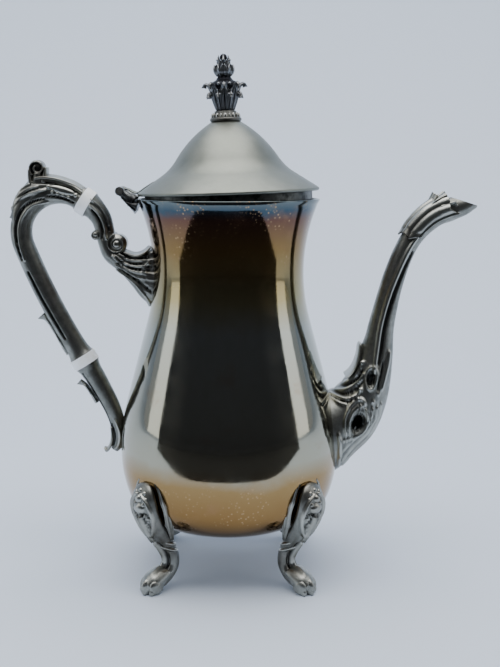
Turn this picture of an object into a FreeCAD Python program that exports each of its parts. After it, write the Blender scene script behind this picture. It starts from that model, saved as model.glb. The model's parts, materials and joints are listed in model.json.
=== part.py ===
import FreeCAD
import Part
import os
import Sketcher
from math import atan2, cos, radians, sin, sqrt
from FreeCAD import Placement, Rotation, Vector

# A silver-plated coffee pot: a pear-shaped vessel on four cast feet, with a cast spout, a cast
# handle held between two insulating collars, and a bell-shaped lid on a pinned hinge.
# Millimetres.  +Z is up, the spout points along +X and the handle along -X.  The origin is on
# the vessel's axis, on the plane that the four feet stand on.

X_AXIS = Vector(1, 0, 0)
Y_AXIS = Vector(0, 1, 0)
Z_AXIS = Vector(0, 0, 1)
FAR = 400.0              # edge of the boxes that stand for a half space
FOOT_NAMES = ["foot_front_left", "foot_front_right", "foot_back_right", "foot_back_left"]

# ---------------------------------------------------------------- driving dimensions
# Each row is a name, its value and its meaning.
SIZES = [
    # the vessel
    ("rim_height", 197.6, "height of the vessel's mouth over the table"),
    ("neck_drop", 37.6, "depth of the neck's waist below the mouth"),
    ("neck_radius", 39.0, "outer radius at the waist of the neck"),
    ("neck_arc", 92.0, "radius of the hollow curve from the neck to the mouth"),
    ("belly_radius", 57.4, "outer radius at the widest part"),
    ("belly_height", 64.5, "height of the widest part over the table"),
    ("flank_ease", 0.69, "slope of the straight flank, against that of a flank without one"),
    ("lower_arc", 62.0, "radius of the curve just under the widest part"),
    ("corner_arc", 25.0, "radius of the turn into the bottom"),
    ("belly_depth", 36.8, "depth of the underside below the widest part"),
    ("vessel_wall", 1.3, "thickness of the vessel's sheet"),
    ("base_opening", 26.0, "radius of the opening that the base plate closes"),
    ("base_lap", 3.0, "how far the base plate laps over the edge of its opening"),
    ("base_wall", 1.2, "thickness of the base plate"),
    ("base_kick", 2.0, "rise of the base plate's middle"),
    ("strainer_hole", 2.2, "radius of a strainer hole behind the spout"),
    ("strainer_ring", 8.0, "radius of the ring of strainer holes"),
    ("strainer_count", 6, "number of holes in the ring of strainer holes"),
    # the lid, measured from its own lower edge
    ("lid_inset", 0.43, "how far the lid's brim stands back from the vessel's rim"),
    ("lid_rise", 35.8, "height of the knob's seat over the lid's lower edge"),
    ("lid_wall", 1.2, "thickness of the lid's sheet"),
    ("lid_edge", 1.2, "height of the lid's upright edge"),
    ("seat_radius", 7.5, "radius of the flat seat under the knob"),
    ("crown_arc", 57.0, "radius of the round crown of the lid"),
    ("crown_start", 31.0, "slope of the crown beside the knob's seat, in degrees"),
    ("flare_arc", 27.0, "radius of the hollow curve between crown and brim"),
    ("brim_slope", 34.0, "slope of the brim, in degrees"),
    ("lid_gap", 0.8, "gap between the closed lid and the vessel's rim"),
    ("lid_ajar", 2.0, "how far the lid stands open at rest, in degrees"),
    ("bezel_gap", 2.6, "distance of the bezel inside the vessel's mouth"),
    ("bezel_wall", 1.0, "thickness of the bezel"),
    ("bezel_drop", 4.5, "how far the bezel reaches below the lid's edge"),
    ("bezel_lap", 3.2, "width of the flange that joins the bezel to the brim"),
    # the knob, measured from the lid's seat
    ("collar_height", 5.5, "height of the collar under the knob"),
    ("collar_foot", 7.0, "radius of the collar's foot over its bead"),
    ("collar_bead", 1.1, "radius of the bead round the collar's foot"),
    ("collar_top", 5.2, "radius of the collar's top"),
    ("urn_waist", 4.6, "radius of the knob's waist"),
    ("urn_height", 12.6, "height of the urn from its waist to its lip"),
    ("urn_radius", 8.4, "radius of the urn at its lip"),
    ("urn_curve", 16.0, "radius of the urn's rounded side"),
    ("shoulder_curve", 6.0, "radius of the urn's rounded shoulder"),
    ("shoulder_height", 4.2, "height of the urn's shoulder over its lip"),
    ("bud_neck", 3.1, "radius of the neck between the urn and the bud"),
    ("bud_radius", 4.6, "radius of the bud"),
    ("bud_height", 7.0, "height of the bud over its neck"),
    ("ball_neck", 1.5, "radius of the neck between the bud and its ball"),
    ("ball_radius", 1.9, "radius of the ball on top of the bud"),
    ("stud_radius", 2.0, "radius of the stud that holds the knob"),
    ("stud_reach", 2.0, "how far the stud stands out of its nut"),
    ("washer_radius", 5.6, "radius of the washer inside the lid"),
    ("washer_thick", 1.0, "thickness of the washer"),
    ("nut_radius", 4.2, "corner radius of the hexagon nut"),
    ("nut_height", 3.2, "height of the nut"),
    ("fixed_gap", 0.04, "clearance round a fixed stud, spigot or pin"),
    # the hinge
    ("hinge_reach", 8.0, "distance from the vessel's rim out to the hinge axis"),
    ("hinge_lift", 3.8, "height of the hinge axis over the vessel's rim"),
    ("knuckle_radius", 2.3, "outer radius of the hinge knuckles"),
    ("hinge_pin_radius", 1.0, "radius of the hinge pin"),
    ("hinge_running", 0.06, "running clearance round the hinge pin"),
    ("hinge_side_gap", 0.3, "side clearance between two knuckles"),
    ("lid_knuckle", 7.0, "width of the lid's knuckle"),
    ("bracket_knuckle", 4.5, "width of each knuckle of the bracket"),
    ("bracket_drop", 12.0, "how far the bracket reaches below the hinge axis"),
    ("bracket_heel", 6.8, "distance of the bracket's lower end inside the hinge axis"),
    ("bracket_step", 0.4, "depth of the bracket's top below the vessel's rim"),
    ("slot_gap", 0.6, "clearance under the lid's knuckle"),
    ("pin_head_radius", 1.7, "radius of the hinge pin's heads"),
    ("pin_head_wide", 0.9, "width of each head of the hinge pin"),
    ("leaf_thick", 1.4, "thickness of the lid's hinge leaf"),
    ("leaf_lap", 9.0, "how far the hinge leaf lies on the brim"),
    ("leaf_wide", 11.0, "width of the hinge leaf on the brim"),
    # the handle
    ("upper_out", 16.2, "distance of the upper insulator beyond the belly's radius"),
    ("upper_up", 35.7, "height of the upper insulator over the neck's waist"),
    ("upper_dip", 33.0, "slope of the handle at the upper insulator, in degrees"),
    ("lower_out", 19.0, "distance of the lower insulator beyond the belly's radius"),
    ("lower_up", 48.6, "height of the lower insulator over the belly's middle"),
    ("grip_bend", 20.3, "radius of the handle's top bend"),
    ("grip_turn", 144.0, "angle that the handle's top bend turns through, in degrees"),
    ("grip_tall", 5.9, "half the handle's thickness, seen from the side"),
    ("grip_wide", 5.4, "half the handle's width, seen from behind"),
    ("insulator_thick", 5.4, "thickness of an insulating collar"),
    ("insulator_lip", 1.3, "how far an insulating collar stands out from the handle"),
    ("spigot_radius", 2.9, "radius of the spigots of an insulating collar"),
    ("spigot_length", 7.5, "length of each spigot"),
    ("spigot_end_gap", 0.4, "space left at the end of a spigot's hole"),
    ("cross_pin_radius", 0.8, "radius of the pins through the spigots"),
    ("cross_pin_place", 4.0, "distance of a cross pin from its insulator's face"),
    ("cross_pin_sink", 0.6, "how far the ends of a cross pin lie under the surface"),
    ("thumb_scroll", 4.0, "radius of the scroll on top of the handle"),
    ("thumb_scroll_wide", 9.0, "width of the scroll on top of the handle"),
    ("thumb_scroll_rise", 12.5, "height of the scroll's middle over the top bend"),
    ("thumb_scroll_set", 10.5, "distance of the scroll behind the middle of the top bend"),
    ("thumb_stem", 2.6, "radius of the stem that carries the scroll"),
    ("volute_radius", 5.2, "radius of the large scroll of the upper socket"),
    ("volute_wide", 11.0, "width of the large scroll of the upper socket"),
    ("volute_out", 18.9, "distance of the large scroll beyond the neck's radius"),
    ("volute_up", 14.7, "height of the large scroll over the neck's waist"),
    # the spout
    ("spout_wall", 1.6, "thickness of the spout's casting"),
    ("mouth_out", 69.7, "distance of the pouring lip beyond the belly's radius"),
    ("mouth_up", 33.4, "height of the pouring lip over the neck's waist"),
    ("mouth_slope", 17.5, "slope of the cut across the spout's mouth, in degrees"),
    ("mouth_back", 19.0, "length of the cut across the spout's mouth, from the lip back"),
    # the feet
    ("foot_turn", 45.0, "angle between the spout and the first foot, in degrees"),
    ("paw_out", 2.6, "distance of a paw's middle inside the belly's radius"),
    ("paw_middle", 5.2, "height of a paw's middle over the table"),
    ("paw_upright", 8.6, "half the height that a whole paw would have"),
    ("paw_long", 6.3, "half the length of a paw"),
    ("paw_wide", 5.8, "half the width of a paw"),
]

# Sections of the castings, each along its casting from root to end.
# Spout: name, the radius that "out" starts from, out, the height that "up" starts from, up,
# heading over the horizontal in degrees, half height and half width.
SPOUT = [
    ("root", "belly", -9.0, "belly", 7.5, 3.0, 22.6, 17.2),
    ("wall", "belly", 0.0, "belly", 11.4, 4.0, 21.4, 16.2),
    ("swell", "belly", 6.8, "belly", 18.0, 9.0, 20.0, 14.8),
    ("shoulder", "belly", 13.2, "belly", 24.8, 19.0, 17.9, 13.4),
    ("throat", "belly", 17.4, "belly", 35.6, 38.0, 13.9, 11.6),
    ("step", "belly", 21.2, "neck", -40.5, 66.0, 9.0, 8.8),
    ("stem", "belly", 23.3, "neck", -25.5, 76.0, 6.9, 6.8),
    ("upper_stem", "belly", 29.0, "neck", -2.2, 70.0, 6.1, 6.0),
    ("bend", "belly", 36.6, "neck", 16.1, 58.0, 5.8, 5.6),
    ("hood", "belly", 47.2, "neck", 28.0, 35.0, 6.6, 5.8),
    ("mouth", "belly", 58.6, "neck", 32.6, 12.0, 6.6, 6.2),
    ("lip", "belly", 73.0, "neck", 34.2, 4.0, 5.6, 5.2),
]
UPPER_SOCKET = [
    ("bend", "neck", 25.6, "neck", 27.6, -50.0, 5.5, 5.3),
    ("curl", "neck", 20.9, "neck", 19.0, -62.0, 5.8, 5.4),
    ("fan_root", "neck", 14.6, "neck", 9.5, -52.0, 8.2, 5.8),
    ("fan", "neck", 7.2, "neck", 2.4, -30.0, 12.2, 6.4),
    ("fan_edge", "neck", 1.4, "neck", -1.6, -8.0, 14.7, 7.0),
    ("fan_back", "neck", -6.0, "neck", -2.2, 0.0, 15.2, 7.2),
]
LOWER_SOCKET = [
    ("shank", "belly", 11.3, "belly", 35.5, -61.0, 5.1, 5.0),
    ("waist", "belly", 5.4, "belly", 23.6, -65.0, 4.6, 4.5),
    ("seat", "belly", 2.4, "belly", 14.6, -76.0, 4.1, 4.0),
    ("tail", "belly", 1.7, "belly", 7.0, -92.0, 3.8, 3.6),
    ("tail_end", "belly", 3.4, "belly", 0.9, -114.0, 3.4, 2.2),
]
# Foot: the last two are half the width and half the thickness.
FOOT = [
    ("knee_top", "belly", 0.6, "table", 56.8, -80.0, 4.2, 2.2),
    ("medallion", "belly", 1.6, "table", 50.0, -88.0, 7.6, 3.6),
    ("knee", "belly", 0.0, "table", 41.0, -108.0, 8.0, 4.2),
    ("knee_foot", "belly", -6.4, "table", 30.8, -122.0, 7.2, 4.2),
    ("anklet", "belly", -13.0, "table", 22.0, -112.0, 6.9, 4.7),
    ("ankle", "belly", -15.6, "table", 15.4, -88.0, 6.3, 4.5),
    ("heel", "belly", -13.0, "table", 9.4, -48.0, 6.0, 4.3),
    ("sole", "belly", -5.4, "table", 5.4, -14.0, 5.4, 4.2),
]

doc = FreeCAD.newDocument("coffee_pot")
sizes = doc.addObject("Spreadsheet::Sheet", "sizes")
derived = doc.addObject("App::VarSet", "derived")


def section_rows(piece, sections, first_half, second_half):
    """The sheet's rows for the sections of one casting."""
    rows = []
    for name, _, out, _, up, heading, first, second in sections:
        place = f"{piece} section {name.replace('_', ' ')}"
        rows.append((f"{piece}_{name}_out", out, f"{place}: distance outwards"))
        rows.append((f"{piece}_{name}_up", up, f"{place}: distance upwards"))
        rows.append((f"{piece}_{name}_heading", heading, f"{place}: heading, in degrees"))
        rows.append((f"{piece}_{name}_{first_half}", first, f"{place}: half its {first_half} size"))
        rows.append((f"{piece}_{name}_{second_half}", second, f"{place}: half its {second_half} size"))
    return rows


def fill_sheet(rows):
    """Write each size as a plain number with its name, and its meaning beside it."""
    for row, (name, value, meaning) in enumerate(rows, start=1):
        sizes.set(f"A{row}", meaning)
        sizes.set(f"B{row}", str(value))
        sizes.setAlias(f"B{row}", name)


fill_sheet(
    SIZES
    + section_rows("spout", SPOUT, "tall", "wide")
    + section_rows("upper_socket", UPPER_SOCKET, "tall", "wide")
    + section_rows("lower_socket", LOWER_SOCKET, "tall", "wide")
    + section_rows("foot", FOOT, "wide", "thick")
)
doc.recompute()
ALIASES = {sizes.getAlias(cell) for cell in sizes.getNonEmptyCells() if sizes.getAlias(cell)}


def formula(text):
    """Write the names in a formula as references to the sheet or to the derived places."""
    words = []
    word = ""
    for letter in text + " ":
        if letter.isalnum() or letter in "_.":
            word += letter
            continue
        if word in ALIASES:
            word = "sizes." + word
        elif word in derived.PropertiesList:
            word = "derived." + word
        words.append(word + letter)
        word = ""
    return "".join(words).strip()


def value(text):
    """A formula's value now."""
    return float(derived.evalExpression(formula(text)))


def derive(name, text):
    """Name a size or place that follows from the driving dimensions."""
    bound = formula(text)
    derived.addProperty("App::PropertyFloat", name, "Derived")
    derived.setExpression(name, bound)
    derived.recompute()


# ---------------------------------------------------------------- derived sizes and places
def derive_vessel():
    """The arcs and tangent points of the vessel's outline."""
    derive("neck_height", "rim_height - neck_drop")
    derive("rim_radius", "neck_radius + neck_arc - sqrt(neck_arc^2 - neck_drop^2)")
    derive("mouth_radius", "neck_radius + neck_arc"
           " - sqrt((neck_arc + vessel_wall)^2 - neck_drop^2)")
    derive("flank", "2 * flank_ease * atan((belly_radius - neck_radius)"
           " / (neck_height - belly_height))")
    derive("flank_top_x", "neck_radius + neck_arc * (1 - cos(flank))")
    derive("flank_top_z", "neck_height - neck_arc * sin(flank)")
    derive("belly_arc", "(flank_top_z - (belly_radius - flank_top_x) / tan(flank)"
           " - belly_height) / tan(flank / 2)")
    derive("flank_end_x", "belly_radius - belly_arc * (1 - cos(flank))")
    derive("flank_end_z", "belly_height + belly_arc * sin(flank)")
    derive("bottom_height", "belly_height - belly_depth")
    derive("corner_x", "belly_radius - lower_arc"
           " + sqrt((lower_arc - corner_arc)^2 - (belly_depth - corner_arc)^2)")
    derive("corner_cos", "(corner_x - belly_radius + lower_arc) / (lower_arc - corner_arc)")
    derive("corner_sin", "(belly_depth - corner_arc) / (lower_arc - corner_arc)")


def derive_lid():
    """The arcs and tangent points of the lid's outline, from its lower edge at height 0."""
    derive("lid_radius", "rim_radius - lid_inset")
    derive("crown_x", "seat_radius - crown_arc * sin(crown_start)")
    derive("crown_z", "lid_rise - crown_arc * cos(crown_start)")
    derive("flare_from_x", "lid_radius + flare_arc * sin(brim_slope) - crown_x")
    derive("flare_from_z", "lid_edge + flare_arc * cos(brim_slope) - crown_z")
    derive("flare_along", "flare_from_x * cos(brim_slope) - flare_from_z * sin(brim_slope)")
    derive("flare_step", "flare_along - sqrt(flare_along^2 - flare_from_x^2 - flare_from_z^2"
           " + (crown_arc + flare_arc)^2)")
    derive("flare_x", "flare_from_x + crown_x - flare_step * cos(brim_slope)")
    derive("flare_z", "flare_from_z + crown_z + flare_step * sin(brim_slope)")
    derive("crown_cos", "(flare_x - crown_x) / (crown_arc + flare_arc)")
    derive("crown_sin", "(flare_z - crown_z) / (crown_arc + flare_arc)")
    derive("brim_under", "lid_edge + lid_radius * tan(brim_slope) - lid_wall / cos(brim_slope)")
    derive("bezel_radius", "mouth_radius - bezel_gap")
    derive("lid_height", "rim_height + lid_gap")
    derive("hinge_over_lid", "hinge_lift - lid_gap")
    derive("bracket_wide", "lid_knuckle + 2 * (hinge_side_gap + bracket_knuckle)")
    derive("bud_bulge", "bud_radius - (bud_neck + ball_neck) / 2")
    derive("bud_arc", "((bud_height^2 + (bud_neck - ball_neck)^2) / 4 + bud_bulge^2) / (2 * bud_bulge)")
    derive("hinge_x", "-(rim_radius + hinge_reach)")
    derive("hinge_z", "rim_height + hinge_lift")
    derive("ajar_x", "hinge_x * (1 - cos(lid_ajar)) + hinge_over_lid * sin(lid_ajar)")
    derive("ajar_z", "lid_height + hinge_over_lid * (1 - cos(lid_ajar)) - hinge_x * sin(lid_ajar)")


def derive_handle():
    """The line of the grip: a tight top bend and a long slack arc to the lower insulator."""
    derive("upper_x", "-(belly_radius + upper_out)")
    derive("upper_z", "neck_height + upper_up")
    derive("lower_x", "-(belly_radius + lower_out)")
    derive("lower_z", "belly_height + lower_up")
    derive("collar_half", "insulator_thick / 2")
    derive("bend_x", "upper_x - collar_half * cos(upper_dip) - grip_bend * sin(upper_dip)")
    derive("bend_z", "upper_z + collar_half * sin(upper_dip) - grip_bend * cos(upper_dip)")
    derive("arm_heading", "180 - upper_dip + grip_turn")
    derive("arm_x", "bend_x + grip_bend * sin(arm_heading)")
    derive("arm_z", "bend_z - grip_bend * cos(arm_heading)")
    derive("chord_x", "lower_x - arm_x")
    derive("chord_z", "lower_z - arm_z")
    derive("chord_heading", "360 deg + atan(chord_z / chord_x)")
    derive("lower_dip", "360 - (2 * chord_heading - arm_heading)")
    derive("foot_x", "lower_x - collar_half * cos(lower_dip)")
    derive("foot_z", "lower_z + collar_half * sin(lower_dip)")
    derive("arm_chord", "sqrt((foot_x - arm_x)^2 + (foot_z - arm_z)^2)")
    derive("arm_arc", "arm_chord / (2 * abs(sin(chord_heading - arm_heading)))")
    derive("pin_place", "collar_half + cross_pin_place")
    derive("pin_length", "2 * (grip_wide - cross_pin_sink)")


derive_vessel()
derive_lid()
derive_handle()


# ---------------------------------------------------------------- tools
def bind(thing, **formulas):
    """Bind an object's properties to formulas; a double underscore stands for a dot."""
    for name, text in formulas.items():
        thing.setExpression(name.replace("__", "."), formula(str(text)))
    return thing


def primitive(kind, name, **formulas):
    """A Part object with bound properties."""
    return bind(doc.addObject(f"Part::{kind}", name), **formulas)


def stand_along(thing, heading):
    """Turn an object about Y so that its own Z axis has a heading over the horizontal."""
    angle = f"90 - ({heading})"
    thing.Placement = Placement(Vector(), Rotation(Y_AXIS, value(angle)))
    return bind(thing, Placement__Rotation__Angle=angle)


def put(thing, x="0", y="0", z="0"):
    """Bind an object's place."""
    return bind(thing, Placement__Base__x=x, Placement__Base__y=y, Placement__Base__z=z)


def cut(name, base, tool):
    """What is left of base without tool."""
    result = doc.addObject("Part::Cut", name)
    result.Base = base
    result.Tool = tool
    return result


def fuse(name, *pieces):
    """One solid of several that overlap."""
    result = doc.addObject("Part::MultiFuse", name)
    result.Shapes = list(pieces)
    result.Refine = True
    return result


def group(name, *pieces):
    """Separate solids that are one node."""
    result = doc.addObject("Part::Compound", name)
    result.Links = list(pieces)
    return result


def new_body(name):
    """An empty PartDesign body."""
    return doc.addObject("PartDesign::Body", name)


def new_sketch(body, name, role):
    """A sketch on one of its body's origin planes."""
    planes = {plane.Role: plane for plane in body.Origin.OriginFeatures}
    sketch = body.newObject("Sketcher::SketchObject", name)
    sketch.AttachmentSupport = [(planes[role], "")]
    sketch.MapMode = "FlatFace"
    return sketch


def add_edge(sketch, start, end, bend):
    """Draw a line or an arc; return its index and the vertex numbers of its start and end.

    bend is 0 for a line, a positive radius where the path turns left and a negative one where
    it turns right.
    """
    if not bend:
        return sketch.addGeometry(Part.LineSegment(start, end), False), 1, 2
    chord = end - start
    half = chord.Length / 2
    height = sqrt(max(bend * bend - half * half, 0))
    left = Vector(-chord.y, chord.x, 0).normalize()
    centre = start + chord * 0.5 + left * (height if bend > 0 else -height)
    first, last = (start, end) if bend > 0 else (end, start)
    turn_first = atan2(first.y - centre.y, first.x - centre.x)
    turn_last = atan2(last.y - centre.y, last.x - centre.x)
    circle = Part.Circle(centre, Z_AXIS, abs(bend))
    index = sketch.addGeometry(Part.ArcOfCircle(circle, turn_first, turn_last), False)
    return (index, 1, 2) if bend > 0 else (index, 2, 1)


def pin_corner(sketch, index, vertex, name, across, up):
    """Fix one vertex by formulas for its two coordinates."""
    for kind, text, axis in (("DistanceX", across, -2), ("DistanceY", up, -1)):
        if text == "0":
            sketch.addConstraint(Sketcher.Constraint("PointOnObject", index, vertex, axis))
            continue
        number = sketch.addConstraint(Sketcher.Constraint(kind, -1, 1, index, vertex, value(text)))
        label = f"{name}_{kind[-1].lower()}"
        sketch.renameConstraint(number, label)
        sketch.setExpression(f"Constraints.{label}", formula(text))


def draw(sketch, corners, closed=True):
    """Draw an outline through corners, each (across, up) or (across, up, radius).

    All three are formulas.  A radius bends the edge that leaves the corner: to the left of
    the way along the outline, or to the right where it starts with a minus sign.
    """
    places = [Vector(value(corner[0]), value(corner[1]), 0) for corner in corners]
    count = len(corners) if closed else len(corners) - 1
    edges = []
    for number in range(count):
        bend = corners[number][2] if len(corners[number]) > 2 else "0"
        end = places[(number + 1) % len(places)]
        edge = add_edge(sketch, places[number], end, value(bend))
        edges.append(edge)
        pin_corner(sketch, edge[0], edge[1], f"corner{number}", corners[number][0], corners[number][1])
        if bend != "0":
            radius = sketch.addConstraint(Sketcher.Constraint("Radius", edge[0], abs(value(bend))))
            sketch.renameConstraint(radius, f"bend{number}")
            sketch.setExpression(f"Constraints.bend{number}", formula(bend.lstrip("-")))
    for number in range(count if closed else count - 1):
        this, after = edges[number], edges[(number + 1) % count]
        sketch.addConstraint(Sketcher.Constraint("Coincident", this[0], this[2], after[0], after[1]))
    if not closed:
        pin_corner(sketch, edges[-1][0], edges[-1][2], "last", corners[-1][0], corners[-1][1])
    return sketch


def turned(name, corners):
    """A body turned about Z from the outline of half its section."""
    body = new_body(name)
    sketch = draw(new_sketch(body, f"{name}_outline", "XZ_Plane"), corners)
    spin = body.newObject("PartDesign::Revolution", f"{name}_turning")
    spin.Profile = sketch
    spin.ReferenceAxis = (sketch, ["V_Axis"])
    spin.Angle = 360
    return body


def drawn_rings(sketch, rings):
    """Circles in a sketch, each (name, across, up, radius) as formulas."""
    for number, (name, across, up, radius) in enumerate(rings):
        place = Vector(value(across), value(up), 0)
        index = sketch.addGeometry(Part.Circle(place, Z_AXIS, value(radius)), False)
        pin_corner(sketch, index, 3, f"{name}{number}", across, up)
        size = sketch.addConstraint(Sketcher.Constraint("Radius", index, value(radius)))
        sketch.renameConstraint(size, f"{name}{number}_radius")
        sketch.setExpression(f"Constraints.{name}{number}_radius", formula(radius))
    return sketch


def oval(major, minor, turn, place):
    """An elliptical section, as four arcs that start between its axes."""
    ellipse = Part.Ellipse(Vector(), major, minor)
    arcs = [ellipse.toShape(radians(start), radians(start + 90)) for start in (45, 135, 225, 315)]
    wire = Part.Wire(arcs)
    wire.Placement = Placement(place, turn)
    return wire


def casting(name, ovals):
    """A solid skin through a row of elliptical sections, read from the sheet."""
    feature = doc.addObject("Part::Feature", name)
    feature.Shape = Part.makeLoft(ovals, True, False)
    return feature


STARTS = {
    ("out", "belly"): "belly_radius",
    ("out", "neck"): "neck_radius",
    ("up", "belly"): "belly_height",
    ("up", "neck"): "neck_height",
    ("up", "table"): "0",
}


def side_oval(piece, row, side, thinner="0"):
    """A section of a casting that runs in the XZ plane, on one side of the vessel."""
    alias = f"{piece}_{row[0]}"
    x = value(f"{side} * ({STARTS['out', row[1]]} + {alias}_out)")
    z = value(f"{STARTS['up', row[3]]} + {alias}_up")
    turn = Rotation(Y_AXIS, 90 - value(f"{alias}_heading"))
    tall, wide = value(f"{alias}_tall - {thinner}"), value(f"{alias}_wide - {thinner}")
    return oval(tall, wide, turn, Vector(x, 0, z))


def foot_oval(row):
    """A section of a foot that stands out along +Y."""
    alias = f"foot_{row[0]}"
    place = Vector(0, value(f"belly_radius + {alias}_out"), value(f"{alias}_up"))
    turn = Rotation(X_AXIS, value(f"{alias}_heading") - 90)
    return oval(value(f"{alias}_wide"), value(f"{alias}_thick"), turn, place)


# ---------------------------------------------------------------- the vessel
def vessel_outline(inset):
    """The vessel's outline from the mouth down to the bottom, a given distance inside it."""
    return [
        (f"neck_radius + neck_arc - sqrt((neck_arc + {inset})^2 - neck_drop^2)", "rim_height",
         f"neck_arc + {inset}"),
        (f"flank_top_x - {inset} * cos(flank)", f"flank_top_z - {inset} * sin(flank)"),
        (f"flank_end_x - {inset} * cos(flank)", f"flank_end_z - {inset} * sin(flank)",
         f"-(belly_arc - {inset})"),
        (f"belly_radius - {inset}", "belly_height", f"-(lower_arc - {inset})"),
        (f"belly_radius - lower_arc + (lower_arc - {inset}) * corner_cos",
         f"belly_height - (lower_arc - {inset}) * corner_sin", f"-(corner_arc - {inset})"),
        ("corner_x", f"bottom_height + {inset}"),
    ]


def backwards(corners):
    """The same open outline, travelled the other way."""
    bends = [corner[2] if len(corner) > 2 else "0" for corner in corners]
    turned_round = []
    for number in range(len(corners) - 1, -1, -1):
        bend = bends[number - 1] if number else "0"
        if bend != "0":
            bend = bend[1:] if bend.startswith("-") else f"-({bend})"
        turned_round.append((corners[number][0], corners[number][1], bend))
    return turned_round


def make_vessel_space():
    """Everything inside the vessel's outer surface, which the castings are cut back to."""
    outline = vessel_outline("0")
    return turned("vessel_space", [("0", "rim_height"), *outline, ("0", "bottom_height")])


def make_body_shell():
    """The vessel's sheet, open at the mouth and at the bottom, with the strainer behind the spout."""
    outer = vessel_outline("0")
    inner = backwards(vessel_outline("vessel_wall"))
    shell = turned("body_shell", [
        *outer,
        ("base_opening", "bottom_height"),
        ("base_opening", "bottom_height + vessel_wall"),
        *inner,
    ])
    sketch = drawn_rings(new_sketch(shell, "strainer_middle", "YZ_Plane"), [
        ("hole", "0", "belly_height + spout_wall_up", "strainer_hole"),
    ])
    drill_strainer(shell, sketch, "strainer_hole_middle")
    ring = drawn_rings(new_sketch(shell, "strainer_first", "YZ_Plane"), [
        ("hole", "0", "belly_height + spout_wall_up + strainer_ring", "strainer_hole"),
    ])
    first = drill_strainer(shell, ring, "strainer_hole_first")
    pattern = shell.newObject("PartDesign::PolarPattern", "strainer_pattern")
    pattern.Originals = [first]
    pattern.Axis = (sketch, ["N_Axis"])
    pattern.Angle = 360
    pattern.Occurrences = int(value("strainer_count"))
    shell.Tip = pattern
    return shell


def drill_strainer(shell, sketch, name):
    """Drill through the wall on the spout's side only."""
    hole = shell.newObject("PartDesign::Pocket", name)
    hole.Profile = sketch
    hole.Reversed = True
    return bind(hole, Length="belly_radius + vessel_wall")


def make_base_plate():
    """The domed plate soldered under the vessel's bottom opening."""
    return turned("base_plate", [
        ("0", "bottom_height - base_wall + base_kick"),
        ("base_opening - base_lap", "bottom_height - base_wall"),
        ("base_opening + base_lap", "bottom_height - base_wall"),
        ("base_opening + base_lap", "bottom_height"),
        ("base_opening - base_lap", "bottom_height"),
        ("0", "bottom_height + base_kick"),
    ])


# ---------------------------------------------------------------- the spout
def make_spout(vessel_space):
    """The hollow spout, cast in two halves that meet on the pot's middle plane."""
    outside = casting("spout_outside", [side_oval("spout", row, 1) for row in SPOUT])
    channel = casting("spout_channel", [side_oval("spout", row, 1, "spout_wall") for row in SPOUT])
    wall = cut("spout_wall_cut", outside, channel)
    seated = cut("spout_seated", wall, vessel_space)
    mouth = primitive("Box", "mouth_space", Length=FAR, Width=FAR, Height=FAR)
    stand_along(mouth, "90 - mouth_slope")
    put(mouth, "belly_radius + mouth_out - mouth_back * cos(mouth_slope)", -FAR / 2,
        "neck_height + mouth_up + mouth_back * sin(mouth_slope)")
    whole = cut("spout_casting", seated, mouth)
    halves = []
    for name, start in (("spout_half_left", "0"), ("spout_half_right", str(-FAR))):
        side = primitive("Box", f"{name}_space", Length=FAR, Width=FAR, Height=FAR)
        put(side, "0", start, "0")
        half = doc.addObject("Part::Common", name)
        half.Base = whole
        half.Tool = side
        halves.append(half)
    return halves


# ---------------------------------------------------------------- the feet
def make_foot(number, name, vessel_space):
    """One cast foot: a medallion on the vessel, a curved leg and a paw."""
    leg = casting(f"{name}_leg", [foot_oval(row) for row in FOOT])
    paw = primitive("Ellipsoid", f"{name}_paw", Radius1="paw_upright", Radius2="paw_wide",
                    Radius3="paw_long")
    put(paw, "0", "belly_radius - paw_out", "paw_middle")
    floor = primitive("Box", f"{name}_floor", Length=FAR, Width=FAR, Height=FAR)
    put(floor, -FAR / 2, -FAR / 2, -FAR)
    seated = cut(f"{name}_seated", fuse(f"{name}_whole", leg, paw), vessel_space)
    foot = cut(name, seated, floor)
    angle = f"foot_turn - 90 - 90 * {number}"
    foot.Placement = Placement(Vector(), Rotation(Z_AXIS, value(angle)))
    return bind(foot, Placement__Rotation__Angle=angle)


# ---------------------------------------------------------------- the handle
def make_insulator(name, x, z, dip, radius):
    """An insulating collar with a spigot on each side, cross-drilled for its pins."""
    body = turned(name, [
        ("0", "-(collar_half + spigot_length)"),
        ("spigot_radius", "-(collar_half + spigot_length)"),
        ("spigot_radius", "-collar_half"),
        (radius, "-collar_half"),
        (radius, "collar_half"),
        ("spigot_radius", "collar_half"),
        ("spigot_radius", "collar_half + spigot_length"),
        ("0", "collar_half + spigot_length"),
    ])
    sketch = drawn_rings(new_sketch(body, f"{name}_pin_rings", "XZ_Plane"), [
        ("near", "0", "pin_place", "cross_pin_radius + fixed_gap"),
        ("far", "0", "-pin_place", "cross_pin_radius + fixed_gap"),
    ])
    drill = body.newObject("PartDesign::Pocket", f"{name}_pin_holes")
    drill.Profile = sketch
    drill.Midplane = True
    bind(drill, Length="4 * spigot_radius")
    stand_along(body, f"-{dip}")
    return put(body, x, "0", z)


def spigot_tools(name, x, z, dip, side):
    """What an insulator takes out of the casting beside it; side is +1 below it and -1 above it."""
    bore = primitive("Cylinder", f"{name}_bore", Radius="spigot_radius + fixed_gap",
                     Height="collar_half + spigot_length + spigot_end_gap")
    heading = f"-{dip}" if side > 0 else f"180 - {dip}"
    stand_along(bore, heading)
    put(bore, x, "0", z)
    pin = cross_pin(f"{name}_pin_bore", x, z, dip, side, "cross_pin_radius + fixed_gap", "pin_length")
    return [bore, pin]


def cross_pin(name, x, z, dip, side, radius, length):
    """A cylinder along Y through a spigot."""
    pin = primitive("Cylinder", name, Radius=radius, Height=length)
    pin.Placement = Placement(Vector(), Rotation(X_AXIS, -90))
    return put(pin, f"{x} + {side} * pin_place * cos({dip})", f"-({length}) / 2",
               f"{z} - {side} * pin_place * sin({dip})")


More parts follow.
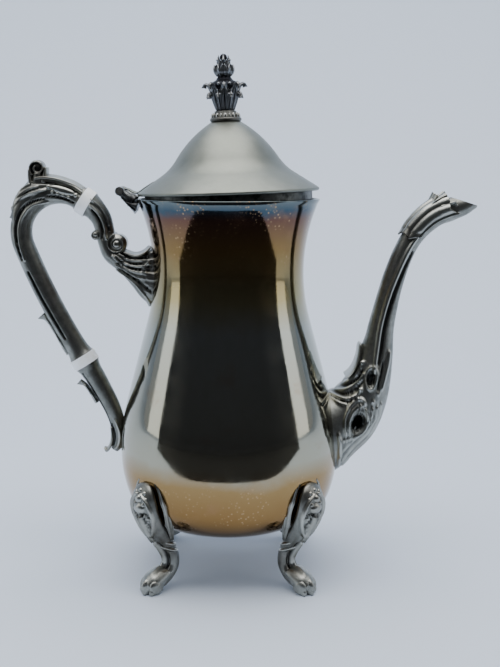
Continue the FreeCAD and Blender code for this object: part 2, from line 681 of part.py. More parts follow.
UPPER = ("upper_x", "upper_z", "upper_dip")
LOWER = ("lower_x", "lower_z", "lower_dip")


def make_grip():
    """The C-shaped grip, swept along its line, with a scroll for the thumb on top."""
    line = doc.addObject("Sketcher::SketchObject", "grip_line")
    line.Placement = Placement(Vector(), Rotation(X_AXIS, 90))
    draw(line, [
        ("upper_x - collar_half * cos(upper_dip)", "upper_z + collar_half * sin(upper_dip)",
         "grip_bend"),
        ("arm_x", "arm_z", "arm_arc" if value("chord_heading - arm_heading") > 0 else "-arm_arc"),
        ("foot_x", "foot_z"),
    ], closed=False)
    section = primitive("Ellipse", "grip_section", MajorRadius="grip_tall", MinorRadius="grip_wide")
    stand_along(section, "180 - upper_dip")
    put(section, "upper_x - collar_half * cos(upper_dip)", "0",
        "upper_z + collar_half * sin(upper_dip)")
    sweep = doc.addObject("Part::Sweep", "grip_sweep")
    sweep.Sections = [section]
    sweep.Spine = (line, ["Edge1", "Edge2"])
    sweep.Solid = True
    sweep.Frenet = False
    sweep.Transition = "Right corner"
    scroll = side_roll("thumb_scroll_roll", "bend_x - thumb_scroll_set",
                       "bend_z + grip_bend + thumb_scroll_rise", "thumb_scroll", "thumb_scroll_wide")
    stem = primitive("Cylinder", "thumb_scroll_stem", Radius="thumb_stem",
                     Height="thumb_scroll_rise + grip_tall")
    put(stem, "bend_x - thumb_scroll_set - thumb_stem / 2", "0", "bend_z + grip_bend - grip_tall")
    grip = fuse("grip_casting", sweep, scroll, stem)
    for number, tool in enumerate(spigot_tools("grip_upper", *UPPER, -1)
                                  + spigot_tools("grip_lower", *LOWER, -1)):
        grip = cut(f"grip_cut{number}", grip, tool)
    grip.Label = "handle_grip"
    return grip


def side_roll(name, x, z, radius, width):
    """A scroll's roll: a cylinder along Y, centred on the middle plane."""
    roll = primitive("Cylinder", name, Radius=radius, Height=width)
    roll.Placement = Placement(Vector(), Rotation(X_AXIS, -90))
    return put(roll, x, f"-({width}) / 2", z)


def socket_face(collar):
    """The section of a socket where it meets its insulator."""
    x, z, dip = collar
    place = Vector(value(f"{x} + collar_half * cos({dip})"), 0, value(f"{z} - collar_half * sin({dip})"))
    return oval(value("grip_tall"), value("grip_wide"), Rotation(Y_AXIS, 90 + value(dip)), place)


def make_socket(name, collar, rows, extras, vessel_space):
    """A cast socket from an insulator to the vessel's wall."""
    arm = casting(f"{name}_arm", [socket_face(collar)] + [side_oval(name, row, -1) for row in rows])
    socket = fuse(f"{name}_whole", arm, *extras) if extras else arm
    socket = cut(f"{name}_seated", socket, vessel_space)
    for number, tool in enumerate(spigot_tools(name, *collar, 1)):
        socket = cut(f"{name}_cut{number}", socket, tool)
    return socket


def make_handle(vessel_space):
    """The grip, its two insulators, the two sockets and the four cross pins."""
    volute = side_roll("volute", "-(neck_radius + volute_out)", "neck_height + volute_up",
                       "volute_radius", "volute_wide")
    upper = make_socket("upper_socket", UPPER, UPPER_SOCKET, [volute], vessel_space)
    upper.Label = "handle_socket_upper"
    lower = make_socket("lower_socket", LOWER, LOWER_SOCKET, [], vessel_space)
    lower.Label = "handle_socket_lower"
    collars = [
        make_insulator("insulator_upper", *UPPER, "grip_tall + insulator_lip"),
        make_insulator("insulator_lower", *LOWER, "grip_tall + insulator_lip"),
    ]
    pins = []
    for number, (collar, side) in enumerate(((UPPER, -1), (UPPER, 1), (LOWER, -1), (LOWER, 1))):
        pins.append(cross_pin(f"cross_pin{number}", *collar, side, "cross_pin_radius", "pin_length"))
    return [upper, lower, make_grip(), *collars, group("handle_pins", *pins)]


# ---------------------------------------------------------------- the hinge
def padded(body, name, corners, width):
    """Pad an outline in the middle plane to both sides."""
    sketch = draw(new_sketch(body, f"{name}_outline", "XZ_Plane"), corners)
    pad = body.newObject("PartDesign::Pad", f"{name}_pad")
    pad.Profile = sketch
    pad.Midplane = True
    return bind(pad, Length=width)


def pocketed(body, name, sketch, width):
    """Cut a sketch of the middle plane out of a body, to both sides."""
    pocket = body.newObject("PartDesign::Pocket", f"{name}_pocket")
    pocket.Profile = sketch
    pocket.Midplane = True
    return bind(pocket, Length=width)


def make_bracket(vessel_space):
    """The cast bracket on the vessel's rim, with a knuckle at each side of the lid's knuckle."""
    body = new_body("bracket_casting")
    padded(body, "bracket", [
        ("hinge_x - knuckle_radius", "hinge_z", "-knuckle_radius"),
        ("hinge_x", "hinge_z + knuckle_radius", "-knuckle_radius"),
        ("hinge_x + knuckle_radius", "hinge_z"),
        ("hinge_x + knuckle_radius", "rim_height - bracket_step"),
        ("-neck_radius", "rim_height - bracket_step"),
        ("-neck_radius", "hinge_z - bracket_drop"),
        ("hinge_x + bracket_heel", "hinge_z - bracket_drop"),
    ], "bracket_wide")
    slot_floor = "hinge_z - knuckle_radius - slot_gap"
    slot = draw(new_sketch(body, "slot_outline", "XZ_Plane"), [
        ("hinge_x - 2 * knuckle_radius", slot_floor),
        ("-neck_radius", slot_floor),
        ("-neck_radius", "hinge_z + 2 * knuckle_radius"),
        ("hinge_x - 2 * knuckle_radius", "hinge_z + 2 * knuckle_radius"),
    ])
    pocketed(body, "slot", slot, "lid_knuckle + 2 * hinge_side_gap")
    hole = drawn_rings(new_sketch(body, "bracket_bore", "XZ_Plane"), [
        ("pin", "hinge_x", "hinge_z", "hinge_pin_radius + fixed_gap"),
    ])
    pocketed(body, "bracket_bore", hole, "2 * bracket_wide")
    return cut("hinge_bracket", body, vessel_space)


def make_hinge_pin():
    """The hinge pin, headed over at both ends."""
    inner = "bracket_wide / 2 + fixed_gap"
    pin = turned("hinge_pin", [
        ("0", f"-({inner} + pin_head_wide)"),
        ("pin_head_radius", f"-({inner} + pin_head_wide)"),
        ("pin_head_radius", f"-({inner})"),
        ("hinge_pin_radius", f"-({inner})"),
        ("hinge_pin_radius", inner),
        ("pin_head_radius", inner),
        ("pin_head_radius", f"{inner} + pin_head_wide"),
        ("0", f"{inner} + pin_head_wide"),
    ])
    pin.Placement = Placement(Vector(), Rotation(X_AXIS, 90))
    return put(pin, "hinge_x", "0", "hinge_z")


# ---------------------------------------------------------------- the lid
# The lid's parts are drawn with the lid's lower edge at height 0, and swung open about the hinge.
def swing(thing):
    """Place a part of the lid where the lid stands at rest."""
    thing.Placement = Placement(Vector(), Rotation(-Y_AXIS, value("lid_ajar")))
    bind(thing, Placement__Rotation__Angle="lid_ajar")
    return put(thing, "ajar_x", "0", "ajar_z")


def lid_outline():
    """The lid's outer outline from the knob's seat to the upright edge."""
    return [
        ("seat_radius", "lid_rise", "-crown_arc"),
        ("crown_x + crown_arc * crown_cos", "crown_z + crown_arc * crown_sin", "flare_arc"),
        ("flare_x - flare_arc * sin(brim_slope)", "flare_z - flare_arc * cos(brim_slope)"),
        ("lid_radius", "lid_edge"),
        ("lid_radius", "0"),
    ]


def make_lid_shell():
    """The lid's sheet: seat, crown, flare, brim and upright edge."""
    inner_crown = "(crown_arc - lid_wall)"
    inner_flare = "(flare_arc + lid_wall)"
    seat_under = "lid_rise - lid_wall"
    return turned("lid_shell", [
        ("stud_radius + fixed_gap", "lid_rise"),
        *lid_outline(),
        ("lid_radius - lid_wall", "0"),
        ("lid_radius - lid_wall", "brim_under - (lid_radius - lid_wall) * tan(brim_slope)"),
        (f"flare_x - {inner_flare} * sin(brim_slope)", f"flare_z - {inner_flare} * cos(brim_slope)",
         f"-{inner_flare}"),
        (f"crown_x + {inner_crown} * crown_cos", f"crown_z + {inner_crown} * crown_sin", inner_crown),
        (f"crown_x + sqrt({inner_crown}^2 - ({seat_under} - crown_z)^2)", seat_under),
        ("stud_radius + fixed_gap", seat_under),
    ])


def make_bezel():
    """The ring that steadies the lid in the vessel's mouth, with its flange under the brim."""
    under = "brim_under - ({}) * tan(brim_slope)"
    inner = "bezel_radius - bezel_wall"
    lap = "bezel_radius - bezel_lap"
    below = " - bezel_wall / cos(brim_slope)"
    return turned("lid_bezel", [
        (inner, "-bezel_drop"),
        ("bezel_radius", "-bezel_drop"),
        ("bezel_radius", under.format("bezel_radius")),
        (lap, under.format(lap)),
        (lap, under.format(lap) + below),
        (inner, under.format(inner) + below),
    ])


def make_hinge_leaf():
    """The lid's half of the hinge: a knuckle and a leaf soldered on the brim."""
    top = "lid_edge + leaf_thick / cos(brim_slope)"
    body = new_body("leaf_casting")
    padded(body, "leaf", [
        ("hinge_x", "hinge_over_lid + knuckle_radius", "knuckle_radius"),
        ("hinge_x - knuckle_radius", "hinge_over_lid", "knuckle_radius"),
        ("hinge_x", "hinge_over_lid - knuckle_radius"),
        ("hinge_x + knuckle_radius", "lid_edge"),
        ("-lid_radius + lid_wall", "lid_edge"),
        ("-lid_radius + lid_wall", top + " + lid_wall * tan(brim_slope)"),
        ("-lid_radius", top),
    ], "lid_knuckle")
    padded(body, "leaf_lap", [
        ("-lid_radius", "lid_edge"),
        ("-lid_radius + leaf_lap", "lid_edge"),
        ("-lid_radius + leaf_lap", top + " + leaf_lap * tan(brim_slope)"),
        ("-lid_radius", top),
    ], "leaf_wide")
    hole = drawn_rings(new_sketch(body, "leaf_bore", "XZ_Plane"), [
        ("pin", "hinge_x", "hinge_over_lid", "hinge_pin_radius + hinge_running"),
    ])
    pocketed(body, "leaf_bore", hole, "2 * bracket_wide")
    lid_space = turned("lid_space", [("0", "lid_rise"), *lid_outline(), ("0", "0")])
    return cut("lid_hinge_leaf", body, lid_space)


def make_knob():
    """The collar, the urn-shaped knob with its stud, and the washer and nut inside the lid."""
    bore = "stud_radius + fixed_gap"
    top = "lid_rise + collar_height"
    lip = f"{top} + urn_height"
    neck = f"{lip} + shoulder_height"
    crest = f"{neck} + bud_height"
    collar = turned("finial_collar", [
        (bore, "lid_rise"),
        ("collar_foot", "lid_rise", "collar_bead"),
        ("collar_foot + collar_bead", "lid_rise + collar_bead", "collar_bead"),
        ("collar_foot", "lid_rise + 2 * collar_bead"),
        ("collar_top", top),
        (bore, top),
    ])
    under = "lid_rise - lid_wall"
    end = f"{under} - washer_thick - nut_height - stud_reach"
    finial = turned("finial", [
        ("0", end),
        ("stud_radius", end),
        ("stud_radius", top),
        ("urn_waist", top, "urn_curve"),
        ("urn_radius", lip, "shoulder_curve"),
        ("bud_neck", neck, "bud_arc"),
        ("ball_neck", crest, "ball_radius"),
        ("0", f"{crest} + ball_radius + sqrt(ball_radius^2 - ball_neck^2)"),
    ])
    washer = turned("finial_washer", [
        (bore, f"{under} - washer_thick"),
        ("washer_radius", f"{under} - washer_thick"),
        ("washer_radius", under),
        (bore, under),
    ])
    nut_blank = primitive("Prism", "nut_blank", Circumradius="nut_radius", Height="nut_height")
    nut_blank.Polygon = 6
    nut_bore = primitive("Cylinder", "nut_bore", Radius=bore, Height="nut_height")
    nut_base = f"{under} - washer_thick - nut_height"
    nut = cut("finial_nut", put(nut_blank, "0", "0", nut_base), put(nut_bore, "0", "0", nut_base))
    return [collar, finial, washer, nut]


# ---------------------------------------------------------------- the whole pot
def make_pot():
    """Every node of the pot."""
    space = make_vessel_space()
    nodes = [make_body_shell(), make_base_plate(), *make_spout(space), *make_handle(space)]
    nodes += [make_foot(number, name, space) for number, name in enumerate(FOOT_NAMES)]
    nodes += [make_bracket(space), make_hinge_pin()]
    lid_nodes = [make_lid_shell(), make_bezel(), make_hinge_leaf(), *make_knob()]
    return nodes + [swing(node) for node in lid_nodes]


def check(nodes):
    """Stop if any object failed, or if a node isn't a sound solid."""
    failed = [thing.Label for thing in doc.Objects if {"Invalid", "Error"} & set(thing.State)]
    if failed:
        raise RuntimeError(f"failed objects: {failed}")
    for node in nodes:
        if node.Shape.isNull() or not node.Shape.isValid() or not node.Shape.Solids:
            raise RuntimeError(f"{node.Label} isn't a sound solid")


def write(nodes):
    """Write each node to a file that its label names."""
    os.makedirs("parts", exist_ok=True)
    for node in nodes:
        node.Shape.exportStep(f"parts/{node.Label}.step")
        print(f"{node.Label}: {len(node.Shape.Solids)} solid(s), {node.Shape.Volume:.1f} mm3")


pot = make_pot()
doc.recompute()
check(pot)
write(pot)
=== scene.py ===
import json
from math import atan2, cos, hypot, pi, radians, sin

import bmesh
import bpy
import numpy as np
from mathutils import Matrix, Vector


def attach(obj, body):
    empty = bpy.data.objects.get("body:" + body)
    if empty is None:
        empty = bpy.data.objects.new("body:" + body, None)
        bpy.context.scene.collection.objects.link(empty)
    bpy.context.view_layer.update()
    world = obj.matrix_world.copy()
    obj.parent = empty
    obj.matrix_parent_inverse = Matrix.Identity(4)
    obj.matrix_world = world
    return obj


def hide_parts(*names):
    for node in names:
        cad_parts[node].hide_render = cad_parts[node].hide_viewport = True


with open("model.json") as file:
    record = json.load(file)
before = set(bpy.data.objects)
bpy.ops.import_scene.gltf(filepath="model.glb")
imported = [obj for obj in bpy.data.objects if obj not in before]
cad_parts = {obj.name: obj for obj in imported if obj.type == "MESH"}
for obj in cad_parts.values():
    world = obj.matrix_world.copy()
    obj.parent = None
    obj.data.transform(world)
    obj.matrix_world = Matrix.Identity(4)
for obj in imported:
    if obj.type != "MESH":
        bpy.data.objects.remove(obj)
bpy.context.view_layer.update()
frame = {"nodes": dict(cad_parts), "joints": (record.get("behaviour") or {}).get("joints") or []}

# The silver-plated coffee pot.  Pieces are drawn in millimetres, with +Z up, the spout along +X
# and the handle along -X, and are brought to metres as they are finished.
MM = 0.001
UP = Vector((0, 0, 1))
ACROSS = Vector((0, 1, 0))
TURNS = 144              # steps round a turned piece

HINGE = Vector(frame["joints"][0]["pos_m"]) / MM
LID_AJAR = radians(2)
LID_BASE = 198.4         # height of the closed lid's lower edge
LID_SEAT = 35.8          # height of the knob's seat over that edge
WALL = 1.3
RIM_HEIGHT = 197.6
BOTTOM_HEIGHT = 27.7


# ---------------------------------------------------------------- shapes
def arc(centre, radius, start, end, steps):
    """Points round an arc; the angles are in degrees."""
    turns = [radians(start + (end - start) * step / steps) for step in range(steps + 1)]
    return [(centre[0] + radius * cos(turn), centre[1] + radius * sin(turn)) for turn in turns]


def blended(rows, steps):
    """Rows of numbers with a smooth curve through them, so many steps to each gap."""
    rows = np.array(rows, float)
    rows = np.vstack([2 * rows[0] - rows[1], rows, 2 * rows[-1] - rows[-2]])
    filled = []
    for before, here, there, after in zip(rows, rows[1:], rows[2:], rows[3:]):
        pull = there - before
        bend = 2 * before - 5 * here + 4 * there - after
        twist = 3 * here - before - 3 * there + after
        for step in range(steps):
            part = step / steps
            filled.append(here + part / 2 * (pull + part * (bend + part * twist)))
    return np.array(filled + [rows[-2]])


def section(x, z, heading, tall, wide, y=0.0):
    """Where a ring of radius 1 goes: across a line that runs in the XZ plane at a heading."""
    turn = radians(heading)
    along = Vector((cos(turn), 0, sin(turn)))
    over = Vector((-sin(turn), 0, cos(turn)))
    columns = [over * tall, ACROSS * wide, along, Vector((x, y, z))]
    return Matrix([[column[row] for column in columns] for row in range(3)] + [[0, 0, 0, 1]])


def line_sections(rows, steps):
    """Sections along rows of x, z, heading, half height and half width."""
    return [section(*row) for row in blended(rows, steps)]


def path_sections(rows, steps, y=0.0):
    """Sections along rows of x, z, half height and half width, square to the line itself."""
    rows = blended(rows, steps)
    ways = np.gradient(rows[:, :2], axis=0)
    return [section(row[0], row[1], np.degrees(atan2(way[1], way[0])), row[2], row[3], y)
            for row, way in zip(rows, ways)]


def swept(bm, sections, around):
    """A closed skin: a ring that is extruded from section to section."""
    ring = bmesh.ops.create_circle(bm, radius=1.0, segments=around, matrix=sections[0])["verts"]
    first = ring
    for before, after in zip(sections, sections[1:]):
        loop = set(ring)
        edges = {edge for vert in ring for edge in vert.link_edges if edge.other_vert(vert) in loop}
        grown = bmesh.ops.extrude_edge_only(bm, edges=list(edges))["geom"]
        ring = [part for part in grown if isinstance(part, bmesh.types.BMVert)]
        bmesh.ops.transform(bm, matrix=after @ before.inverted(), verts=ring)
    for end in (first, ring):
        edges = {edge for vert in end for edge in vert.link_edges if edge.is_boundary}
        bmesh.ops.holes_fill(bm, edges=list(edges))


def turned(outline, closed=True, steps=TURNS):
    """A piece turned about the Z axis from an outline of radius and height."""
    bm = bmesh.new()
    verts = [bm.verts.new((radius, 0, height)) for radius, height in outline]
    pairs = list(zip(verts, verts[1:]))
    if closed:
        pairs.append((verts[-1], verts[0]))
    edges = [bm.edges.new(pair) for pair in pairs]
    bmesh.ops.spin(bm, geom=verts + edges, axis=UP, cent=(0, 0, 0), angle=2 * pi, steps=steps,
                   use_merge=True)
    bmesh.ops.remove_doubles(bm, verts=bm.verts, dist=0.001)
    return bm


def bead(bm, place, radius, scale=(1, 1, 1), turn=0.0):
    """A rounded bead, drawn out along its axes and leaned about Y; returns its points."""
    shape = Matrix.Translation(place) @ Matrix.Rotation(turn, 4, "Y") @ Matrix.Diagonal((*scale, 1))
    made = bmesh.ops.create_uvsphere(bm, u_segments=20, v_segments=12, radius=radius, matrix=shape)
    return made["verts"]


def stub(bm, x, z, radius, length, segments):
    """A short round bar that lies across the pot."""
    place = Matrix.Translation((x, 0, z)) @ Matrix.Rotation(pi / 2, 4, "X")
    bmesh.ops.create_cone(bm, cap_ends=True, segments=segments, radius1=radius, radius2=radius,
                          depth=length, matrix=place)


def roll(bm, centre, outer, inner, turns, thick, wide, start, way=1):
    """A strip rolled up into a volute whose axis lies along Y."""
    count = int(turns * 40)
    rows = []
    for step in range(count + 1):
        part = step / count
        angle = radians(start) + way * 2 * pi * turns * part
        radius = outer + (inner - outer) * part ** 0.8
        rows.append((centre[0] + radius * cos(angle), centre[1] + radius * sin(angle), thick, wide))
    swept(bm, path_sections(rows, 1), 20)


def leaf(bm, spine, matrix=None, lobes=0, cup=0.0, rib=0.35, thick=0.8, along=40,
         across=16):
    """A blade that follows a spine of x, z and half width, with lobed edges and a midrib."""
    matrix = matrix or Matrix.Identity(4)
    line = blended(spine, 8)
    ways = np.gradient(line[:, :2], axis=0)
    known = set(bm.verts)
    faces_before = set(bm.faces)
    bmesh.ops.create_grid(bm, x_segments=across, y_segments=along, size=1.0)
    verts = [vert for vert in bm.verts if vert not in known]
    faces = [face for face in bm.faces if face not in faces_before]
    spots = np.linspace(0, 1, len(line))
    for vert in verts:
        part, side = (vert.co.y + 1) / 2, vert.co.x
        x, z, half = [np.interp(part, spots, line[:, column]) for column in range(3)]
        way = Vector((np.interp(part, spots, ways[:, 0]), 0, np.interp(part, spots, ways[:, 1])))
        out = Vector((-way.z, 0, way.x)).normalized()
        scallop = 1 - 0.22 * abs(sin(pi * lobes * part)) if lobes else 1
        lift = cup * side * side + rib * max(0, 1 - (side / 0.22) ** 2)
        lift += 0.16 * cos(side * 9) * min(1, lobes)
        vert.co = Vector((x, side * half * scallop, z)) + out * lift
    bmesh.ops.recalc_face_normals(bm, faces=faces)
    made = bmesh.ops.solidify(bm, geom=faces, thickness=thick)["geom"]
    verts = list({*verts, *[part for part in made if isinstance(part, bmesh.types.BMVert)]})
    bmesh.ops.transform(bm, matrix=matrix, verts=verts)


# ---------------------------------------------------------------- relief
def stroke(line, half_width, lift):
    """A rounded rib along a line, or a groove where its lift is negative."""
    return ("stroke", line, half_width, lift)


def boss(centre, radii, turn, lift):
    """A rounded oval boss, or a hollow where its lift is negative."""
    return ("boss", centre, radii, turn, lift)


def stroke_lift(places, line, half_width, lift):
    """How far a stroke raises each place."""
    path = blended(line, 6)
    start, run = path[:-1], np.diff(path, axis=0)
    gap = places[:, None, :] - start[None]
    along = np.clip((gap * run).sum(2) / (run * run).sum(1), 0, 1)
    away = np.linalg.norm(gap - along[..., None] * run, axis=2)
    reached = np.clip((np.arange(len(run)) + along) / len(run), 0.02, 0.98)
    taper = 0.55 + 0.45 * np.sin(pi * reached) ** 0.5
    near = np.clip(1 - (away / (half_width * taper)) ** 2, 0, 1) ** 1.3
    return lift * near.max(1)


def boss_lift(places, centre, radii, turn, lift):
    """How far a boss raises each place."""
    angle = radians(turn)
    gap = places - np.array(centre)
    far = np.stack([gap @ (cos(angle), sin(angle)) / radii[0],
                    gap @ (-sin(angle), cos(angle)) / radii[1]])
    return lift * np.clip(1 - (far ** 2).sum(0), 0, 1) ** 0.7


RELIEF_DEPTH = 1.25      # how much deeper the relief is cut than its marks say
RELIEF_SPAN = 2.2        # the height, from hollow to ridge, that the relief attribute tells apart


def carved(bm, marks, plan, facing):
    """Raise a skin by marks that are drawn on a plan, and keep the height as its relief."""
    layer = relief_layer(bm)
    bmesh.ops.recalc_face_normals(bm, faces=bm.faces)
    bm.normal_update()
    verts = list(bm.verts)
    places = np.array([plan(vert.co) for vert in verts])
    weights = np.array([facing(vert.normal) for vert in verts])
    total = np.zeros(len(verts))
    for kind, *words in marks:
        lift = stroke_lift if kind == "stroke" else boss_lift
        total += RELIEF_DEPTH * lift(places, *words)
    total *= weights
    for vert, normal, height in zip(verts, [vert.normal.copy() for vert in verts], total):
        vert.co += normal * float(height)
        vert[layer] = 0.5 + float(np.clip(height / RELIEF_SPAN, -0.5, 0.5))


def relief_layer(bm):
    """The attribute that says how high a point of a casting stands: 0 deep, 0.5 plain, 1 high."""
    layers = bm.verts.layers.float
    return layers.get("relief") or layers.new("relief")


def fresh(bm, relief=0.75):
    """Give one relief to all that has none yet."""
    layer = relief_layer(bm)
    for vert in bm.verts:
        if vert[layer] == 0.0:
            vert[layer] = relief


def side_plan(place):
    """The plan of a casting that is drawn from the side."""
    return (place.x, place.z)


def sideways(normal):
    """How far a point faces the pot's left or right."""
    return min(1.0, abs(normal.y) * 1.7)


def wall_radius(height):
    """The radius of the middle of the vessel's wall at a height."""
    heights = [point[1] for point in VESSEL_MIDDLE]
    return float(np.interp(height, heights, [point[0] for point in VESSEL_MIDDLE]))


def seated(bm):
    """Bring what would lie inside the vessel out to the middle of its wall."""
    for vert in bm.verts:
        radius = hypot(vert.co.x, vert.co.y)
        if BOTTOM_HEIGHT + 1 < vert.co.z < RIM_HEIGHT and 0 < radius < wall_radius(vert.co.z):
            grow = wall_radius(vert.co.z) / radius
            vert.co.x *= grow
            vert.co.y *= grow


def linked(name, bm):
    """An object in the scene, smoothly shaded, from a shape that is then let go."""
    mesh = bpy.data.meshes.new(name)
    bm.to_mesh(mesh)
    bm.free()
    for polygon in mesh.polygons:
        polygon.use_smooth = True
    made = bpy.data.objects.new(name, mesh)
    bpy.context.scene.collection.objects.link(made)
    return made


def piece(name, bm, body, slot, *replaced, material=None):
    """Finish a piece: metres, outward faces, smooth shading, its body, slot and material."""
    bmesh.ops.scale(bm, vec=(MM, MM, MM), verts=bm.verts)
    bmesh.ops.recalc_face_normals(bm, faces=bm.faces)
    made = linked(name, bm)
    made.data.materials.append(material or MATERIALS[slot])
    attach(made, body)
    if replaced:
        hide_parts(*replaced)
    return made


def cut_away(target, bm):
    """Take the shape in a mesh, drawn in millimetres, out of a finished piece."""
    bmesh.ops.scale(bm, vec=(MM, MM, MM), verts=bm.verts)
    bmesh.ops.recalc_face_normals(bm, faces=bm.faces)
    tool = linked("tool", bm)
    cutter = target.modifiers.new("cut", "BOOLEAN")
    cutter.operation = "DIFFERENCE"
    cutter.solver = "EXACT"
    cutter.object = tool
    graph = bpy.context.evaluated_depsgraph_get()
    result = bpy.data.meshes.new_from_object(target.evaluated_get(graph))
    target.modifiers.clear()
    spent = [target.data, tool.data]
    target.data = result
    bpy.data.objects.remove(tool)
    for mesh in spent:
        bpy.data.meshes.remove(mesh)
    for polygon in result.polygons:
        polygon.use_smooth = True


# ---------------------------------------------------------------- materials
def add(tree, kind, **inputs):
    """A node with its inputs set or linked; a socket's name is written with underscores."""
    node = tree.nodes.new(kind)
    for name, given in inputs.items():
        feed(tree, node.inputs[name.replace("_", " ")], given)
    return node


def feed(tree, socket, given):
    """Link another socket to a socket, or set its value."""
    if isinstance(given, bpy.types.NodeSocket):
        tree.links.new(given, socket)
    else:
        socket.default_value = given


def maths(tree, operation, first, second):
    """A sum of two values; products and choices are kept between 0 and 1."""
    node = tree.nodes.new("ShaderNodeMath")
    node.operation = operation
    node.use_clamp = operation in ("MULTIPLY", "MAXIMUM", "MINIMUM")
    feed(tree, node.inputs[0], first)
    feed(tree, node.inputs[1], second)
    return node.outputs[0]


def ranged(tree, given, low, high, bottom=0.0, top=1.0):
    """A value eased from one range to another."""
    node = add(tree, "ShaderNodeMapRange", Value=given, From_Min=low, From_Max=high, To_Min=bottom,
               To_Max=top)
    node.interpolation_type = "SMOOTHSTEP"
    return node.outputs[0]


def mixed(tree, amount, first, second, blend="MIX"):
    """Two colours mixed by an amount."""
    node = tree.nodes.new("ShaderNodeMix")
    node.data_type = "RGBA"
    node.blend_type = blend
    feed(tree, node.inputs[0], amount)
    feed(tree, node.inputs[6], first)
    feed(tree, node.inputs[7], second)
    return node.outputs[2]


def noise(tree, place, scale, detail=4.0, rough=0.55, stretch=None):
    """A noise pattern, drawn out where it is given a stretch."""
    if stretch:
        place = add(tree, "ShaderNodeMapping", Vector=place, Scale=stretch).outputs[0]
    return add(tree, "ShaderNodeTexNoise", Vector=place, Scale=scale, Detail=detail,
               Roughness=rough).outputs[0]


def ramp(tree, given, stops):
    """A colour ramp; each stop is a position and a colour."""
    node = tree.nodes.new("ShaderNodeValToRGB")
    feed(tree, node.inputs[0], given)
    elements = node.color_ramp.elements
    while len(elements) < len(stops):
        elements.new(0.5)
    for element, (position, colour) in zip(elements, stops):
        element.position = position
        element.color = (*colour, 1)
    return node.outputs[0]


def group(name, inputs, outputs, build):
    """A node group with named inputs and outputs; build wires it and returns its results."""
    tree = bpy.data.node_groups.new(name, "ShaderNodeTree")
    for label, kind, value in inputs:
        socket = tree.interface.new_socket(label, in_out="INPUT", socket_type=kind)
        if value is not None:
            socket.default_value = value
    for label, kind in outputs:
        tree.interface.new_socket(label, in_out="OUTPUT", socket_type=kind)
    start = tree.nodes.new("NodeGroupInput")
    end = tree.nodes.new("NodeGroupOutput")
    for socket, result in zip(end.inputs, build(tree, start.outputs)):
        tree.links.new(result, socket)
    return tree


def use(tree, group_tree, **inputs):
    """A node group placed in a material; returns its outputs."""
    node = tree.nodes.new("ShaderNodeGroup")
    node.node_tree = group_tree
    for name, given in inputs.items():
        feed(tree, node.inputs[name.replace("_", " ")], given)
    return node.outputs


def build_scratches(tree, given):
    """Fine rubbing marks in two directions, and a soft unevenness."""
    place = given["Place"]
    first = noise(tree, place, 900.0, 3.0, 0.6, (1.0, 1.0, 0.06))
    second = noise(tree, place, 700.0, 3.0, 0.6, (0.08, 1.0, 1.0))
    third = noise(tree, place, 14.0, 3.0, 0.5)
    rubbed = maths(tree, "MULTIPLY", first, second)
    fine = maths(tree, "MULTIPLY", rubbed, given["Fine"])
    broad = maths(tree, "MULTIPLY", third, given["Broad"])
    return [maths(tree, "ADD", fine, broad)]


def build_grain(tree, given):
    """The skin of a casting: soft waves with small pits."""
    waves = noise(tree, given["Place"], 260.0, 5.0, 0.6)
    pits = noise(tree, given["Place"], 1400.0, 2.0, 0.6)
    deep = ranged(tree, pits, 0.30, 0.46)
    return [maths(tree, "ADD", waves, maths(tree, "MULTIPLY", deep, 0.35))]


def build_recess(tree, given):
    """Bright on the high parts of a relief, dark in its hollows, broken up by wear."""
    relief = add(tree, "ShaderNodeAttribute")
    relief.attribute_name = "relief"
    patches = noise(tree, given["Place"], 120.0, 5.0, 0.6)
    level = maths(tree, "ADD", relief.outputs["Fac"],
                  maths(tree, "SUBTRACT", maths(tree, "MULTIPLY", patches, 0.5), 0.25))
    return [ranged(tree, level, given["Dark"], given["Bright"])]


def build_speckles(tree, given):
    """Small round spots left where a droplet dried."""
    cells = add(tree, "ShaderNodeTexVoronoi", Vector=given["Place"], Scale=given["Scale"],
                Randomness=1.0)
    spots = ranged(tree, cells.outputs["Distance"], given["Size"], 0.0)
    chosen = ranged(tree, noise(tree, given["Place"], 60.0, 2.0), 0.48, 0.62)
    return [maths(tree, "MULTIPLY", spots, chosen)]


VECTOR, NUMBER = "NodeSocketVector", "NodeSocketFloat"
SCRATCHES = group("fine_scratches", [("Place", VECTOR, None), ("Fine", NUMBER, 0.4),
                                     ("Broad", NUMBER, 1.0)], [("Height", NUMBER)],
                  build_scratches)
GRAIN = group("casting_grain", [("Place", VECTOR, None)], [("Height", NUMBER)], build_grain)
RECESS = group("relief_tarnish", [("Place", VECTOR, None), ("Dark", NUMBER, 0.2),
                                  ("Bright", NUMBER, 0.8)], [("Polish", NUMBER)], build_recess)
SPECKLES = group("dried_spots", [("Place", VECTOR, None), ("Scale", NUMBER, 300.0),
                                 ("Size", NUMBER, 0.3)], [("Spots", NUMBER)], build_speckles)


def new_material(name, metallic, rough=0.3):
    """A material with its shader; returns it with its node tree, shader and object coordinates."""
    material = bpy.data.materials.new(name)
    material.use_nodes = True
    tree = material.node_tree
    shader = tree.nodes["Principled BSDF"]
    shader.inputs["Metallic"].default_value = metallic
    shader.inputs["Roughness"].default_value = rough
    place = tree.nodes.new("ShaderNodeTexCoord").outputs["Object"]
    return material, tree, shader, place


def bumped(tree, shader, height, strength, distance):
    """Raise a material's surface by a height pattern."""
    bump = add(tree, "ShaderNodeBump", Height=height, Strength=strength, Distance=distance)
    tree.links.new(bump.outputs[0], shader.inputs["Normal"])


